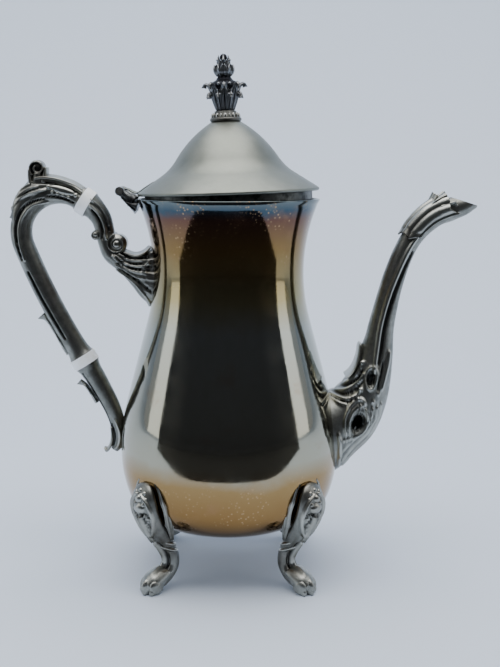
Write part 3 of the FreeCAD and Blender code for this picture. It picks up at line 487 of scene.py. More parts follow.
def vessel_plate():
    """Bright plate, tarnished amber round the neck and the base, blue and violet under the rim."""
    material, tree, shader, place = new_material("vessel_plate", 1.0)
    height = add(tree, "ShaderNodeSeparateXYZ", Vector=place).outputs[2]
    drift = noise(tree, place, 22.0, 4.0, 0.6)
    level = maths(tree, "DIVIDE", maths(tree, "SUBTRACT", height, BOTTOM_HEIGHT * MM),
                  (RIM_HEIGHT - BOTTOM_HEIGHT) * MM)
    waver = maths(tree, "MULTIPLY", maths(tree, "SUBTRACT", drift, 0.5), 0.16)
    level = maths(tree, "ADD", level, waver)
    colour = ramp(tree, level, [
        (0.00, (0.15, 0.085, 0.035)),
        (0.10, (0.26, 0.15, 0.055)),
        (0.19, (0.31, 0.20, 0.085)),
        (0.25, (0.37, 0.35, 0.27)),
        (0.62, (0.37, 0.38, 0.34)),
        (0.72, (0.34, 0.29, 0.15)),
        (0.86, (0.23, 0.145, 0.055)),
        (0.945, (0.13, 0.068, 0.05)),
        (0.972, (0.045, 0.078, 0.105)),
        (1.00, (0.14, 0.165, 0.165)),
    ])
    cloud = noise(tree, place, 75.0, 5.0, 0.65)
    colour = mixed(tree, ranged(tree, cloud, 0.55, 0.8, 0.0, 0.35), colour, (0.32, 0.18, 0.10, 1))
    spots = use(tree, SPECKLES, Place=place, Scale=520.0, Size=0.36)["Spots"]
    low = ranged(tree, height, 76 * MM, 58 * MM)
    high = ranged(tree, height, 150 * MM, 178 * MM)
    shown = maths(tree, "MULTIPLY", spots, maths(tree, "MAXIMUM", low, high))
    colour = mixed(tree, shown, colour, (0.46, 0.31, 0.17, 1))
    tree.links.new(colour, shader.inputs["Base Color"])
    marks = use(tree, SCRATCHES, Place=place, Fine=0.25, Broad=1.0)
    rough = ranged(tree, cloud, 0.35, 0.75, 0.055, 0.13)
    rough = maths(tree, "ADD", rough, maths(tree, "MULTIPLY", shown, 0.15))
    tree.links.new(rough, shader.inputs["Roughness"])
    bumped(tree, shader, marks["Height"], 0.12, 0.0006)
    return material


def lid_satin():
    """Satin plate, greyed and evenly worn."""
    material, tree, shader, place = new_material("lid_satin", 1.0)
    patches = noise(tree, place, 60.0, 5.0, 0.6)
    fine = noise(tree, place, 2600.0, 2.0, 0.7)
    colour = mixed(tree, ranged(tree, patches, 0.3, 0.7), (0.205, 0.216, 0.190, 1),
                   (0.262, 0.273, 0.243, 1))
    colour = mixed(tree, ranged(tree, fine, 0.55, 0.8, 0.0, 0.4), colour, (0.22, 0.23, 0.21, 1))
    tree.links.new(colour, shader.inputs["Base Color"])
    tree.links.new(ranged(tree, patches, 0.3, 0.7, 0.40, 0.47), shader.inputs["Roughness"])
    marks = use(tree, SCRATCHES, Place=place, Fine=0.5, Broad=0.3)
    bumped(tree, shader, maths(tree, "ADD", marks["Height"], fine), 0.12, 0.0003)
    return material


def casting(name, low, high, polish):
    """Cast plate: polished on the high parts, black in the hollows."""
    material, tree, shader, place = new_material(name, 1.0)
    polished = use(tree, RECESS, Place=place, Dark=0.17, Bright=0.82)["Polish"]
    colour = mixed(tree, polished, low, high)
    brown = ranged(tree, noise(tree, place, 40.0, 3.0), 0.5, 0.72, 0.0, 0.4)
    colour = mixed(tree, brown, colour, (0.30, 0.22, 0.17, 1), "MULTIPLY")
    tree.links.new(colour, shader.inputs["Base Color"])
    tree.links.new(ranged(tree, polished, 0.0, 1.0, 0.48, polish), shader.inputs["Roughness"])
    grain = use(tree, GRAIN, Place=place)
    bumped(tree, shader, grain["Height"], 0.22, 0.0004)
    return material


def plain_casting(name, low, high, rough):
    """Cast plate on a piece without relief, darkened in patches."""
    material, tree, shader, place = new_material(name, 1.0)
    patches = noise(tree, place, 170.0, 5.0, 0.65)
    colour = mixed(tree, ranged(tree, patches, 0.35, 0.65), low, high)
    tree.links.new(colour, shader.inputs["Base Color"])
    tree.links.new(ranged(tree, patches, 0.3, 0.7, rough + 0.12, rough), shader.inputs["Roughness"])
    grain = use(tree, GRAIN, Place=place)
    bumped(tree, shader, grain["Height"], 0.25, 0.0004)
    return material


def white_insulator():
    """White plastic, faintly yellowed, with dust in its turning marks."""
    material, tree, shader, place = new_material("white_insulator", 0.0, 0.42)
    patches = noise(tree, place, 190.0, 4.0, 0.6)
    colour = mixed(tree, ranged(tree, patches, 0.35, 0.7), (0.97, 0.98, 1.0, 1),
                   (0.90, 0.90, 0.89, 1))
    tree.links.new(colour, shader.inputs["Base Color"])
    tree.links.new(ranged(tree, patches, 0.3, 0.7, 0.36, 0.5), shader.inputs["Roughness"])
    shader.inputs["Subsurface Weight"].default_value = 0.08
    shader.inputs["Subsurface Radius"].default_value = (0.004, 0.004, 0.003)
    marks = use(tree, SCRATCHES, Place=place, Fine=1.0, Broad=0.3)
    bumped(tree, shader, marks["Height"], 0.25, 0.0003)
    return material


MATERIALS = {
    "vessel_plate": vessel_plate(),
    "lid_satin": lid_satin(),
    "cast_plate": casting("cast_plate", (0.035, 0.036, 0.034, 1), (0.42, 0.425, 0.39, 1), 0.28),
    "dark_casting": casting("dark_casting", (0.022, 0.023, 0.028, 1), (0.27, 0.28, 0.29, 1), 0.28),
    "bright_casting": casting("bright_casting", (0.06, 0.06, 0.055, 1), (0.52, 0.52, 0.48, 1),
                              0.25),
    "white_insulator": white_insulator(),
    "hinge": plain_casting("hinge_casting", (0.05, 0.05, 0.052, 1), (0.26, 0.27, 0.27, 1), 0.3),
    "plain_metal": plain_casting("plain_metal", (0.30, 0.29, 0.27, 1), (0.55, 0.54, 0.50, 1), 0.3),
    # The bezel is coloured near-black as painted shade for the shadowed gap under the lid's brim.
    "bezel": plain_casting("bezel_painted_shade", (0.02, 0.022, 0.02, 1), (0.10, 0.105, 0.10, 1), 0.3),
}


# ---------------------------------------------------------------- the vessel
# Its side is four arcs, each with a centre and a radius, that meet at these angles.
NECK_CENTRE, NECK_RADIUS = (131.0, 160.0), 92.0
BELLY_CENTRE, BELLY_RADIUS = (-55.5, 64.5), 112.9
LOWER_CENTRE, LOWER_RADIUS = (-4.6, 64.5), 62.0
CORNER_CENTRE, CORNER_RADIUS = (30.47, 52.7), 25.0
FLANK = 15.05
TURN_IN = 18.6
RIM_ANGLE = 24.12
BASE_OPENING = 26.0

STRAINER_HEIGHT = 75.9
STRAINER_RING = 8.0      # radius of the ring of six holes round the middle one
STRAINER_HOLE = 2.2


def vessel_side(inset):
    """The side of the vessel from its underside to its rim, so far inside its outer face."""
    points = [(BASE_OPENING, BOTTOM_HEIGHT + inset)]
    points += arc(CORNER_CENTRE, CORNER_RADIUS - inset, -90, -TURN_IN, 26)
    points += arc(LOWER_CENTRE, LOWER_RADIUS - inset, -TURN_IN, 0, 8)[1:]
    points += arc(BELLY_CENTRE, BELLY_RADIUS - inset, 0, FLANK, 12)[1:]
    points += arc(NECK_CENTRE, NECK_RADIUS + inset, 180 + FLANK, 180 - RIM_ANGLE, 24)
    return points


VESSEL_MIDDLE = vessel_side(WALL / 2)


def make_vessel():
    """The pear-shaped body with its rounded rim and the strainer holes behind the spout."""
    outer, inner = vessel_side(0.0), vessel_side(WALL)
    rim = ((outer[-1][0] + inner[-1][0]) / 2, RIM_HEIGHT - WALL / 2)
    outer[-1] = (outer[-1][0] - 0.05, RIM_HEIGHT - WALL / 2)
    inner[-1] = (inner[-1][0] + 0.05, RIM_HEIGHT - WALL / 2)
    lip = arc(rim, WALL / 2, 0, 180, 8)
    skin = turned(outer[:-1] + lip + inner[-2::-1])
    vessel = piece("vessel", skin, "pot", "vessel_plate", "body_shell")
    holes = bmesh.new()
    middle = (0, STRAINER_HEIGHT)
    for y, z in [middle] + arc(middle, STRAINER_RING, 0, 300, 5):
        drill = Matrix.Translation((55, y, z)) @ Matrix.Rotation(pi / 2, 4, "Y")
        bmesh.ops.create_cone(holes, cap_ends=True, segments=24, radius1=STRAINER_HOLE,
                              radius2=STRAINER_HOLE, depth=16, matrix=drill)
    cut_away(vessel, holes)


# ---------------------------------------------------------------- the lid
LID_PLACE = (Matrix.Translation(HINGE) @ Matrix.Rotation(LID_AJAR, 4, -ACROSS)
             @ Matrix.Translation(-HINGE) @ Matrix.Translation((0, 0, LID_BASE)))
LID_WALL = 1.2
LID_BORE = 2.1           # the hole for the knob's stud
BRIM_EDGE = 0.9          # radius of the rounded brim
BRIM = 34.0              # angle at which the flare leaves the brim
FLARE_CENTRE, FLARE_RADIUS = (48.90, 32.22), 27.0
CROWN_CENTRE, CROWN_RADIUS = (-21.86, -13.06), 57.0
FLARE_TURN = 32.6        # angle at which the flare meets the crown
CROWN_END = 59.0


def lid_side(inset):
    """The side of the lid from the top of its edge to its seat, so far inside its outer face."""
    flare = arc(FLARE_CENTRE, FLARE_RADIUS + inset, 270 - BRIM, 180 + FLARE_TURN, 16)
    crown = arc(CROWN_CENTRE, CROWN_RADIUS - inset, FLARE_TURN, CROWN_END, 20)
    return flare + crown[1:]


def make_lid():
    """The bell-shaped lid with its rounded brim."""
    outer = arc((45.7, BRIM_EDGE), BRIM_EDGE, -90, 56, 10) + lid_side(0.0)
    outer += [(6.9, LID_SEAT), (LID_BORE, LID_SEAT)]
    inner = [(LID_BORE, LID_SEAT - LID_WALL)] + lid_side(LID_WALL)[::-1]
    inner += [(44.2, BRIM_EDGE), (44.2, 0.0)]
    bm = turned(outer + inner)
    bmesh.ops.transform(bm, matrix=LID_PLACE, verts=bm.verts)
    piece("lid_bell", bm, "lid", "lid_satin", "lid_shell")


# ---------------------------------------------------------------- the knob
URN_FOOT = LID_SEAT + 5.5
URN_LIP = URN_FOOT + 12.6
BUD_FOOT = URN_LIP + 4.2


def around(count, start=0.0):
    """Turns about Z for a ring of so many things."""
    return [Matrix.Rotation(start + 2 * pi * number / count, 4, "Z") for number in range(count)]


def make_collar():
    """The collar under the knob: a flared ring with upright beads over a rounded foot."""
    outline = [(LID_BORE, LID_SEAT), (7.0, LID_SEAT)]
    outline += arc((7.0, LID_SEAT + 1.1), 1.1, -90, 70, 8)
    outline += [(6.9, LID_SEAT + 2.3), (6.3, LID_SEAT + 4.4), (5.6, LID_SEAT + 4.7),
                (5.5, LID_SEAT + 5.3), (4.9, URN_FOOT), (LID_BORE, URN_FOOT)]
    bm = turned(outline, steps=96)
    fresh(bm, 0.35)
    for number, turn in enumerate(around(20)):
        wide = 0.85 if number % 2 else 0.5
        centre = turn @ Vector((6.75, 0, LID_SEAT + 3.1))
        made = bead(bm, centre, 1.0, (0.75, wide, 1.35), radians(-14))
        bmesh.ops.rotate(bm, cent=centre, matrix=turn.to_3x3(), verts=made)
    fresh(bm, 0.9)
    bmesh.ops.transform(bm, matrix=LID_PLACE, verts=bm.verts)
    piece("knob_collar", bm, "lid", "bright_casting", "finial_collar")


def urn_outline():
    """The core of the knob, from its stud up to its ball."""
    urn = blended([(4.6, URN_FOOT), (5.0, URN_FOOT + 2), (6.2, URN_FOOT + 6), (7.0, URN_FOOT + 10),
                   (7.1, URN_LIP), (6.0, URN_LIP + 1.6), (4.4, URN_LIP + 2.6), (3.2, BUD_FOOT)], 5)
    bud = blended([(3.2, BUD_FOOT + 0.4), (4.3, BUD_FOOT + 2.4), (4.0, BUD_FOOT + 4.4),
                   (2.6, BUD_FOOT + 6.6), (1.5, BUD_FOOT + 8.2)], 5)
    ball = arc((0, BUD_FOOT + 9.4), 1.9, -38, 90, 10)
    return [(0, URN_FOOT - 15), (2.0, URN_FOOT - 15), (2.0, URN_FOOT)] + [*map(tuple, urn)] + [
        *map(tuple, bud)] + ball


def make_knob():
    """The urn knob: a crown of acanthus leaves, a bud of two rows of petals, and a ball."""
    bm = turned(urn_outline(), closed=False, steps=96)
    fresh(bm, 0.22)
    acanthus = [(4.9, URN_FOOT + 0.6, 1.5), (6.0, URN_FOOT + 4.5, 2.4), (7.4, URN_FOOT + 8.5, 3.0),
                (8.0, URN_FOOT + 10.6, 2.2), (9.0, URN_FOOT + 12.2, 1.4),
                (9.3, URN_FOOT + 11.2, 0.6)]
    for turn in around(8):
        leaf(bm, acanthus, turn, lobes=4, cup=0.7, rib=0.45, thick=0.7, along=44, across=18)
    under_leaf = [(5.0, URN_FOOT + 0.4, 1.0), (6.4, URN_FOOT + 4.5, 2.0),
                  (7.2, URN_FOOT + 7.2, 1.8), (7.7, URN_FOOT + 7.5, 1.3),
                  (7.7, URN_FOOT + 6.4, 0.7)]
    for turn in around(8, pi / 8):
        leaf(bm, under_leaf, turn, lobes=2, cup=0.3, rib=0.4, thick=0.6, along=24, across=12)
    fresh(bm, 0.62)
    for turn in around(8, pi / 8):
        bead(bm, turn @ Vector((7.2, 0, URN_LIP + 0.4)), 0.8)
    petal = [(3.3, BUD_FOOT + 0.4, 1.0), (4.6, BUD_FOOT + 2.2, 1.8), (4.9, BUD_FOOT + 3.8, 1.6),
             (4.5, BUD_FOOT + 5.6, 0.3)]
    for turn in around(8):
        leaf(bm, petal, turn, cup=-0.5, rib=0.3, thick=0.5, along=20, across=10)
    inner_petal = [(3.0, BUD_FOOT + 4.6, 1.0), (2.9, BUD_FOOT + 6.4, 1.2),
                   (3.1, BUD_FOOT + 7.6, 0.8), (3.7, BUD_FOOT + 8.2, 0.2)]
    for turn in around(6, pi / 6):
        leaf(bm, inner_petal, turn, cup=-0.4, rib=0.3, thick=0.5, along=18, across=10)
    fresh(bm, 0.85)
    bmesh.ops.transform(bm, matrix=LID_PLACE, verts=bm.verts)
    piece("knob", bm, "lid", "dark_casting", "finial")


# ---------------------------------------------------------------- the spout
SPOUT = [
    # x, z, heading, half height and half width
    (48.4, 72, 3, 22.6, 17.2), (57.4, 75.9, 4, 21.4, 16.2), (64.2, 82.5, 9, 20, 14.8),
    (70.6, 89.3, 19, 17.9, 13.4), (74.8, 100.1, 38, 13.9, 11.6), (78.6, 119.5, 66, 8.6, 8.2),
    (80.7, 134.5, 76, 6.6, 6.4), (86.4, 157.8, 70, 5.7, 5.5), (94, 176.1, 58, 5.5, 5.2),
    (104.6, 188, 35, 6.2, 5.4), (115, 192.2, 14, 6.0, 5.8), (121.3, 194.2, 16, 5.2, 5.2),
    (125.0, 196.2, 25, 4.5, 4.4), (127.6, 197.8, 30, 4.2, 4.0),
]
SPOUT_WALL = 1.6
MOUTH_SLOPE = radians(17.5)
LIP_END = 127.6

SPOUT_MARKS = [
    # the rolled band over the base, with its beads
    stroke([(67.5, 124), (67, 118), (65, 110.5), (60.5, 105.5), (53, 102.5)], 2.6, 1.5),
    stroke([(66, 119), (63.5, 111), (59, 106.5), (53, 104.5)], 0.8, -0.5),
    boss((68.5, 120.5), (1.8, 1.5), 0, 1.0),
    boss((70.2, 113), (1.2, 1.0), 0, 0.9),
    boss((68.9, 99.5), (1.3, 1.0), 0, 1.0),
    # four flutes that sweep down to the vessel
    stroke([(70, 113), (69, 110), (66.5, 106), (61.5, 102), (55, 100.5)], 0.85, 1.1),
    stroke([(69.5, 109.5), (67, 104.5), (62, 100.8), (55, 99)], 0.7, -0.9),
    stroke([(70.5, 107.5), (68, 103.5), (63.5, 100), (59, 98), (54, 97.5)], 0.85, 1.1),
    stroke([(69.5, 103), (66, 99), (61, 96.8), (54, 96.8)], 0.7, -0.9),
    stroke([(68.5, 99.5), (67, 97), (62.5, 94.5), (57, 95), (53, 96)], 0.95, 1.2),
    stroke([(66, 94.5), (61.5, 93), (57, 93.8), (53.5, 95)], 0.6, -0.9),
    stroke([(61, 92), (57.5, 92.5), (54, 94.5)], 0.9, 1.0),
    # the upper cartouche
    boss((73.8, 104.5), (4.9, 2.3), 82, -1.7),
    stroke([(72, 109), (74, 110.8), (76.6, 109.6), (77, 106), (76, 101.8), (73.6, 99.4),
            (71.6, 101.5), (71, 105.5), (72, 109)], 0.75, 0.9),
    # the C-scroll
    stroke([(68.5, 91), (70.8, 92), (70, 94.2), (67, 94.4), (63.5, 91.4), (61, 86.5), (60, 81.5),
            (61, 76.5)], 0.9, 1.2),
    stroke([(68.6, 91), (66, 90), (63.4, 85.8), (62.2, 81), (63.2, 76)], 0.7, 1.0),
    # the large oval and the rib under it
    boss((67.4, 82), (5.6, 3.5), 68, -2.1),
    boss((66.6, 80), (1.5, 0.9), 60, 0.8),
    stroke([(70.8, 89.5), (72.3, 85.5), (71.8, 81), (68.5, 76.5), (63.5, 73.6), (58.5, 72.5)],
           0.9, 1.2),
    # ribs that follow the lower edge
    stroke([(74.8, 90), (74.3, 85), (71.3, 79), (66.8, 74), (61.5, 69.5), (57.5, 64)], 0.75, 0.9),
    stroke([(77.2, 90), (76.6, 84), (73.2, 77), (68.8, 72), (63.4, 66.8), (59, 60)], 0.75, 0.9),
    stroke([(79.6, 92), (79, 85), (75.6, 77), (71, 70.5), (65, 64.5), (60, 57.5)], 0.75, 0.8),
    stroke([(57, 77), (58, 70), (57.5, 58)], 1.5, 1.0),
    # dots and the leaf that rises from the base along the outer edge
    boss((78, 97), (1.2, 0.9), 60, 0.9),
    boss((75.2, 93), (1.2, 0.9), 60, 0.9),
    stroke([(79.5, 99), (81.5, 107), (83, 113), (83.5, 118.5)], 1.6, 1.1),
    stroke([(77.6, 99), (79.5, 107), (80.4, 114)], 0.8, -0.8),
    # the ridge up the stem
    stroke([(75.5, 108), (77, 119.5), (78.8, 131), (82.5, 146), (87.5, 160), (93, 172), (97, 178)],
           1.7, 0.9),
    stroke([(78.2, 112), (79.6, 122), (81.2, 133), (84.8, 146), (89.8, 159), (95, 170)], 1.4, -0.8),
]


CAP_LINE = blended([
    (93.6, 175.4, 58, 5.4, 5.1), (98.4, 182.4, 50, 5.7, 5.3), (104.6, 188, 35, 6.2, 5.4),
    (111, 191.2, 20, 6.2, 5.6), (118, 193.2, 12, 5.6, 5.4),
], 12)
CAP_WRAP = radians(118)  # how far the cap wraps round the stem at each side


def cap_place(part, side):
    """A point of the leafy cap that wraps the stem's upper side, and how high its rib stands."""
    turn = side * CAP_WRAP
    hem = 0.05 * abs(sin(2.5 * turn)) + 0.10 * abs(side) ** 3
    tips = 0.74 + 0.10 * abs(sin(2.1 * turn)) + 0.16 * side * side
    where = hem + (tips - hem) * part
    spots = np.linspace(0, 1, len(CAP_LINE))
    x, z, heading, tall, wide = [np.interp(where, spots, column) for column in CAP_LINE.T]
    crest = abs(cos(4.2 * turn))
    ribs = crest ** 0.8
    lift = 0.35 + ribs * min(1.0, part * 6) + 1.4 * max(0.0, part - 0.72) * (0.5 + crest)
    roll_out = 0.7 * max(0.0, 1 - part * 9)
    place = section(x, z, heading, tall + lift + roll_out, wide + lift + roll_out)
    return place @ Vector((cos(turn), sin(turn), 0)), ribs


def add_cap(bm):
    """The leafy cap, a shell that stands a little off the stem."""
    layer = relief_layer(bm)
    known, known_faces = set(bm.verts), set(bm.faces)
    bmesh.ops.create_grid(bm, x_segments=96, y_segments=56, size=1.0)
    verts = [vert for vert in bm.verts if vert not in known]
    faces = [face for face in bm.faces if face not in known_faces]
    for vert in verts:
        vert.co, ribs = cap_place((vert.co.y + 1) / 2, vert.co.x)
        vert[layer] = 0.15 + 0.75 * ribs
    bmesh.ops.recalc_face_normals(bm, faces=faces)
    bmesh.ops.solidify(bm, geom=faces, thickness=0.8)


def leaning(start, end, side, degrees):
    """Where a leaf goes that is turned about its own line, from x, z to x, z, and moved in y."""
    line = Vector((end[0] - start[0], 0, end[1] - start[1]))
    foot = Vector((start[0], 0, start[1]))
    turn = Matrix.Rotation(radians(degrees), 4, line)
    return Matrix.Translation(foot + ACROSS * side) @ turn @ Matrix.Translation(-foot)


def add_spout_leaves(bm):
    """Leaf tips that stand free of the cap, and the small one on the stem's outer edge."""
    leaf(bm, [(96.6, 187.0, 2.4), (101, 191.4, 3.4), (104.3, 195.4, 3.2), (106.9, 199.6, 1.6)],
         lobes=2, cup=-0.8, rib=0.6, thick=1.0)
    for side in (-1, 1):
        leaf(bm, [(99.5, 189.2, 1.4), (104.5, 194, 2.6), (108.6, 197.4, 2.4), (111.8, 199.2, 1.0)],
             leaning((99.5, 189.2), (111.8, 199.2), side * 3.2, side * 26), lobes=2, cup=-0.6,
             rib=0.6)
        leaf(bm, [(102.5, 186.4, 1.4), (107.5, 190.8, 2.6), (112, 193.8, 2.4), (116.4, 195.4, 1.0)],
             leaning((102.5, 186.4), (116.4, 195.4), side * 6.0, side * 62), lobes=2, cup=-0.5,
             rib=0.6)
    bead(bm, (84.2, 0, 114.8), 2.0, (0.9, 1.5, 2.2), radians(12))
    band = [(69.1, 122.4, 0.6, 3.6), (68.9, 121.4, 1.3, 5.0), (68.4, 116, 1.6, 6.2),
            (66.8, 111, 1.5, 7.2), (64.4, 107, 1.2, 8.2), (61.4, 104.6, 0.6, 8.8)]
    swept(bm, path_sections(band, 10), 56)


def block(place, size):
    """A box to cut with, at a place."""
    bm = bmesh.new()
    bmesh.ops.create_cube(bm, size=1.0, matrix=place @ Matrix.Diagonal((*size, 1)))
    return bm


def make_spout():
    """The cast spout, hollow, with its ornament and its sloping mouth."""
    bm = bmesh.new()
    swept(bm, line_sections(SPOUT, 20), 104)
    carved(bm, SPOUT_MARKS, side_plan, sideways)
    fresh(bm, 0.5)
    seated(bm)
    spout = piece("spout", bm, "pot", "cast_plate", "spout_half_left", "spout_half_right")
    inside = [(x, z, heading, tall - SPOUT_WALL, wide - SPOUT_WALL)
              for x, z, heading, tall, wide in SPOUT]
    inside[-2:] = [(129, 200.6, 36, 3.0, 3.2), (136, 206, 40, 3.0, 3.2)]
    channel = bmesh.new()
    swept(channel, line_sections(inside[1:], 12), 40)
    cut_away(spout, channel)
    slope = Matrix.Translation((127.1, 0, 194.2)) @ Matrix.Rotation(MOUTH_SLOPE, 4, "Y")
    cut_away(spout, block(slope @ Matrix.Translation((0.5, 0, 15)), (39, 60, 30)))
    cut_away(spout, block(Matrix.Translation((LIP_END + 10, 0, 196)), (20, 60, 40)))
    leaves = bmesh.new()
    add_cap(leaves)
    add_spout_leaves(leaves)
    fresh(leaves, 0.7)
    piece("spout_leaves", leaves, "pot", "cast_plate")


# ---------------------------------------------------------------- the handle
BEND_CENTRE, BEND_RADIUS = (-86.92, 180.15), 20.3
BEND_START = 57.0        # angle at which the bend leaves the upper insulator
BEND_TURN = 144.0
GRIP_END = (-77.81, 115.40)
GRIP_BOW = 1.4           # how far the long part bows away from a straight line
THUMB_SCROLL = (-97.2, 213)
VOLUTE = (-57.4, 174.4)
SMALL_VOLUTE = (-68.3, 178.8)


def grip_rows():
    """The line of the grip: flared ends, a tight top bend and a long slack arc."""
    rows = arc(BEND_CENTRE, BEND_RADIUS, BEND_START, BEND_START + BEND_TURN, 60)
    start = rows[-1]
    count = 70
    for step in range(1, count + 1):
        part = step / count
        bow = 4 * part * (1 - part) * GRIP_BOW
        rows.append((start[0] + (GRIP_END[0] - start[0]) * part - bow * 0.9,
                     start[1] + (GRIP_END[1] - start[1]) * part - bow * 0.44))
    flare = [max(1.2 * np.exp(-step / 2.2), 1.2 * np.exp(-(len(rows) - 1 - step) / 2.6))
             for step in range(len(rows))]
    return [(x, z, 5.6 + more, 5.1 + more) for (x, z), more in zip(rows, flare)]


GRIP_MARKS = [
    # the band over the top, and the edge under the oval panel
    stroke([(-99, 208), (-92, 207.6), (-85.5, 206), (-79.5, 203.6), (-74.5, 200.6)], 0.9, 1.0),
    stroke([(-99, 205.8), (-92, 205.6), (-85.5, 204.2), (-79, 201.8), (-75.5, 199.4)], 0.8, -1.1),
    stroke([(-92, 198.9), (-88, 198.6), (-84, 197.6), (-79, 195.4)], 0.8, -1.0),
    # the leaf on the outer side of the bend
    stroke([(-112, 191), (-108.5, 196), (-103.5, 199.2), (-98, 201.2), (-92.5, 202.4)], 0.9, 1.2),
    stroke([(-111, 195), (-107, 199), (-102.5, 202), (-97, 203.8)], 0.7, 0.8),
    stroke([(-110.5, 193.6), (-107, 197.4), (-102.5, 200.6), (-97, 202.5)], 0.6, -0.9),
    stroke([(-109, 198), (-105.5, 202), (-101, 205)], 0.7, 0.8),
    # the edge between the outer strap and the plain inner side
    stroke([(-106.6, 166), (-108.6, 174), (-109, 182), (-107.6, 188), (-104.6, 193), (-100, 196),
            (-94, 197.4)], 0.9, -1.0),
    stroke([(-105, 166), (-107, 174), (-107.3, 182), (-106, 187), (-103, 191.5), (-99, 194.4),
            (-92, 196)], 0.8, 0.6),
    stroke([(-103.6, 160), (-98, 148), (-91.6, 136), (-85.5, 125)], 1.0, -0.8),
]


def make_grip():
    """The C-scroll grip with its thumb scroll, strap and leaf tips."""
    bm = bmesh.new()
    swept(bm, path_sections(grip_rows(), 2), 72)
    shoulder = [(-109.4, 181, 1.2, 4.2), (-108.6, 188, 3.4, 4.9), (-105.4, 194.4, 5.0, 5.1),
                (-100.6, 200.4, 5.6, 5.2), (-95, 203.2, 4.8, 5.2), (-88.5, 203.4, 4.0, 5.2),
                (-81.5, 201.4, 3.6, 5.2), (-76.2, 198.2, 3.2, 5.4)]
    swept(bm, path_sections(shoulder, 18), 64)
    carved(bm, GRIP_MARKS, side_plan, sideways)
    fresh(bm, 0.5)
    stub(bm, *THUMB_SCROLL, 3.0, 7.4, 32)
    fresh(bm, 0.08)
    for side in (-1, 1):
        bead(bm, (-84.3, side * 4.9, 201.7), 1.0, (7.0, 1.5, 2.0), radians(17))
        bead(bm, (-91.4, side * 5.2, 203.6), 1.25)
        bead(bm, (-77.6, side * 5.4, 199.3), 1.3)
        for x, z in ((-89.6, 201.0), (-86.9, 200.2), (-84.1, 199.4), (-81.4, 198.4)):
            bead(bm, (x, side * 5.3, z), 0.95)
    fresh(bm, 0.9)
    roll(bm, THUMB_SCROLL, 4.4, 1.5, 1.3, 0.9, 4.4, -125, -1)
    outer_stalk = [(-100.6, 203.5, 1.6, 4.4), (-101.3, 207.5, 1.4, 4.4), (-101.5, 212.3, 0.9, 4.4)]
    swept(bm, path_sections(outer_stalk, 6), 20)
    inner_stalk = [(-94.4, 205.5, 2.4, 4.4), (-93.5, 210, 1.5, 4.4), (-92.9, 213.4, 0.9, 4.3)]
    swept(bm, path_sections(inner_stalk, 6), 20)
    stalk = [(-97.8, 203, 4.0, 4.3), (-97.6, 207, 3.4, 4.3), (-97.4, 210.6, 2.6, 4.3)]
    swept(bm, path_sections(stalk, 6), 32)
    leaf(bm, [(-109.6, 187.2, 1.0), (-109.0, 191.6, 2.6), (-106.2, 197.6, 3.6),
              (-102.4, 203.6, 4.0), (-99.8, 206.4, 3.6)], lobes=3, cup=-0.7, rib=0.7, thick=1.0)
    leaf(bm, [(-98.5, 207.7, 4.4), (-93.5, 208.2, 4.6), (-86.5, 207.2, 4.4), (-79.5, 204.7, 4.0),
              (-74.6, 201.6, 3.4)], cup=-0.9, rib=0.5, thick=1.4)
    leaf(bm, [(-83.6, 116.8, 1.8), (-86.6, 121.6, 2.6), (-90.6, 129.4, 2.6), (-94.4, 135.6, 1.8),
              (-96.8, 138.2, 0.6)], lobes=3, cup=0.5, rib=0.5, thick=1.3)
    fresh(bm, 0.72)
    piece("grip", bm, "pot", "cast_plate", "handle_grip")


UPPER_SOCKET = [
    # x, z, heading, half height and half width
    (-71.5, 194.4, -33, 6.9, 6.6), (-70.2, 193.4, -36, 6.2, 5.9), (-68.2, 191.2, -44, 5.7, 5.4),
    (-65.6, 187.2, -60, 5.3, 5.2), (-63.9, 181, -80, 4.9, 5.2), (-63.0, 175, -76, 4.6, 5.2),
    (-60.4, 169, -54, 4.9, 5.4), (-53.8, 164.4, -34, 5.6, 5.6), (-47.4, 160.8, -22, 8.8, 6.0),
    (-41.5, 158, -8, 14.0, 6.8), (-36, 157.6, 0, 14.6, 7.2),
]

FAN_MARKS = [
    # ribs down the neck of the socket
    stroke([(-70, 197.2), (-66.4, 193.4), (-63.4, 189), (-61.4, 184)], 0.8, 1.0),
    stroke([(-70.8, 194.4), (-66.4, 190), (-63.6, 184), (-62.6, 177)], 0.9, 1.2),
    stroke([(-69.6, 192), (-66, 187.5), (-64.6, 182), (-65, 177)], 0.7, -1.0),
    stroke([(-68.4, 195.4), (-64.9, 191), (-62.4, 186), (-60.9, 181)], 0.6, -0.9),
    # the fan's ridges, from the volute to the vessel
    stroke([(-54, 170.4), (-50.6, 168.6), (-46.6, 168), (-42.6, 169.4), (-38, 170)], 0.7, 1.1),
    stroke([(-56.5, 169), (-51.5, 166.4), (-46.5, 165.6), (-42, 166), (-37, 166)], 0.7, 1.1),
    stroke([(-58, 168.5), (-52.5, 164.6), (-47.5, 162.9), (-43.5, 163.4), (-40.5, 165)], 0.75, 1.2),
    stroke([(-59.5, 168.5), (-54, 163), (-49, 160.7), (-44.5, 159.8), (-38, 159)], 0.75, 1.2),
    stroke([(-58, 164), (-51, 159.8), (-46.5, 157.4), (-38, 156.6)], 0.7, 0.9),
    stroke([(-58, 161.4), (-52.5, 158), (-48, 154), (-43.8, 148.5), (-41, 144)], 0.8, 1.0),
    stroke([(-53, 167.2), (-48.5, 166.5), (-43.5, 167.4), (-38, 168)], 0.6, -1.0),
    stroke([(-55, 165.8), (-50, 164.2), (-45, 164.2), (-38, 162)], 0.6, -1.0),
    stroke([(-57, 164.8), (-51, 161.9), (-45, 161), (-38, 160.6)], 0.6, -1.0),
    stroke([(-57, 162.6), (-51, 158.2), (-45, 154), (-40, 150)], 0.9, -1.1),
]


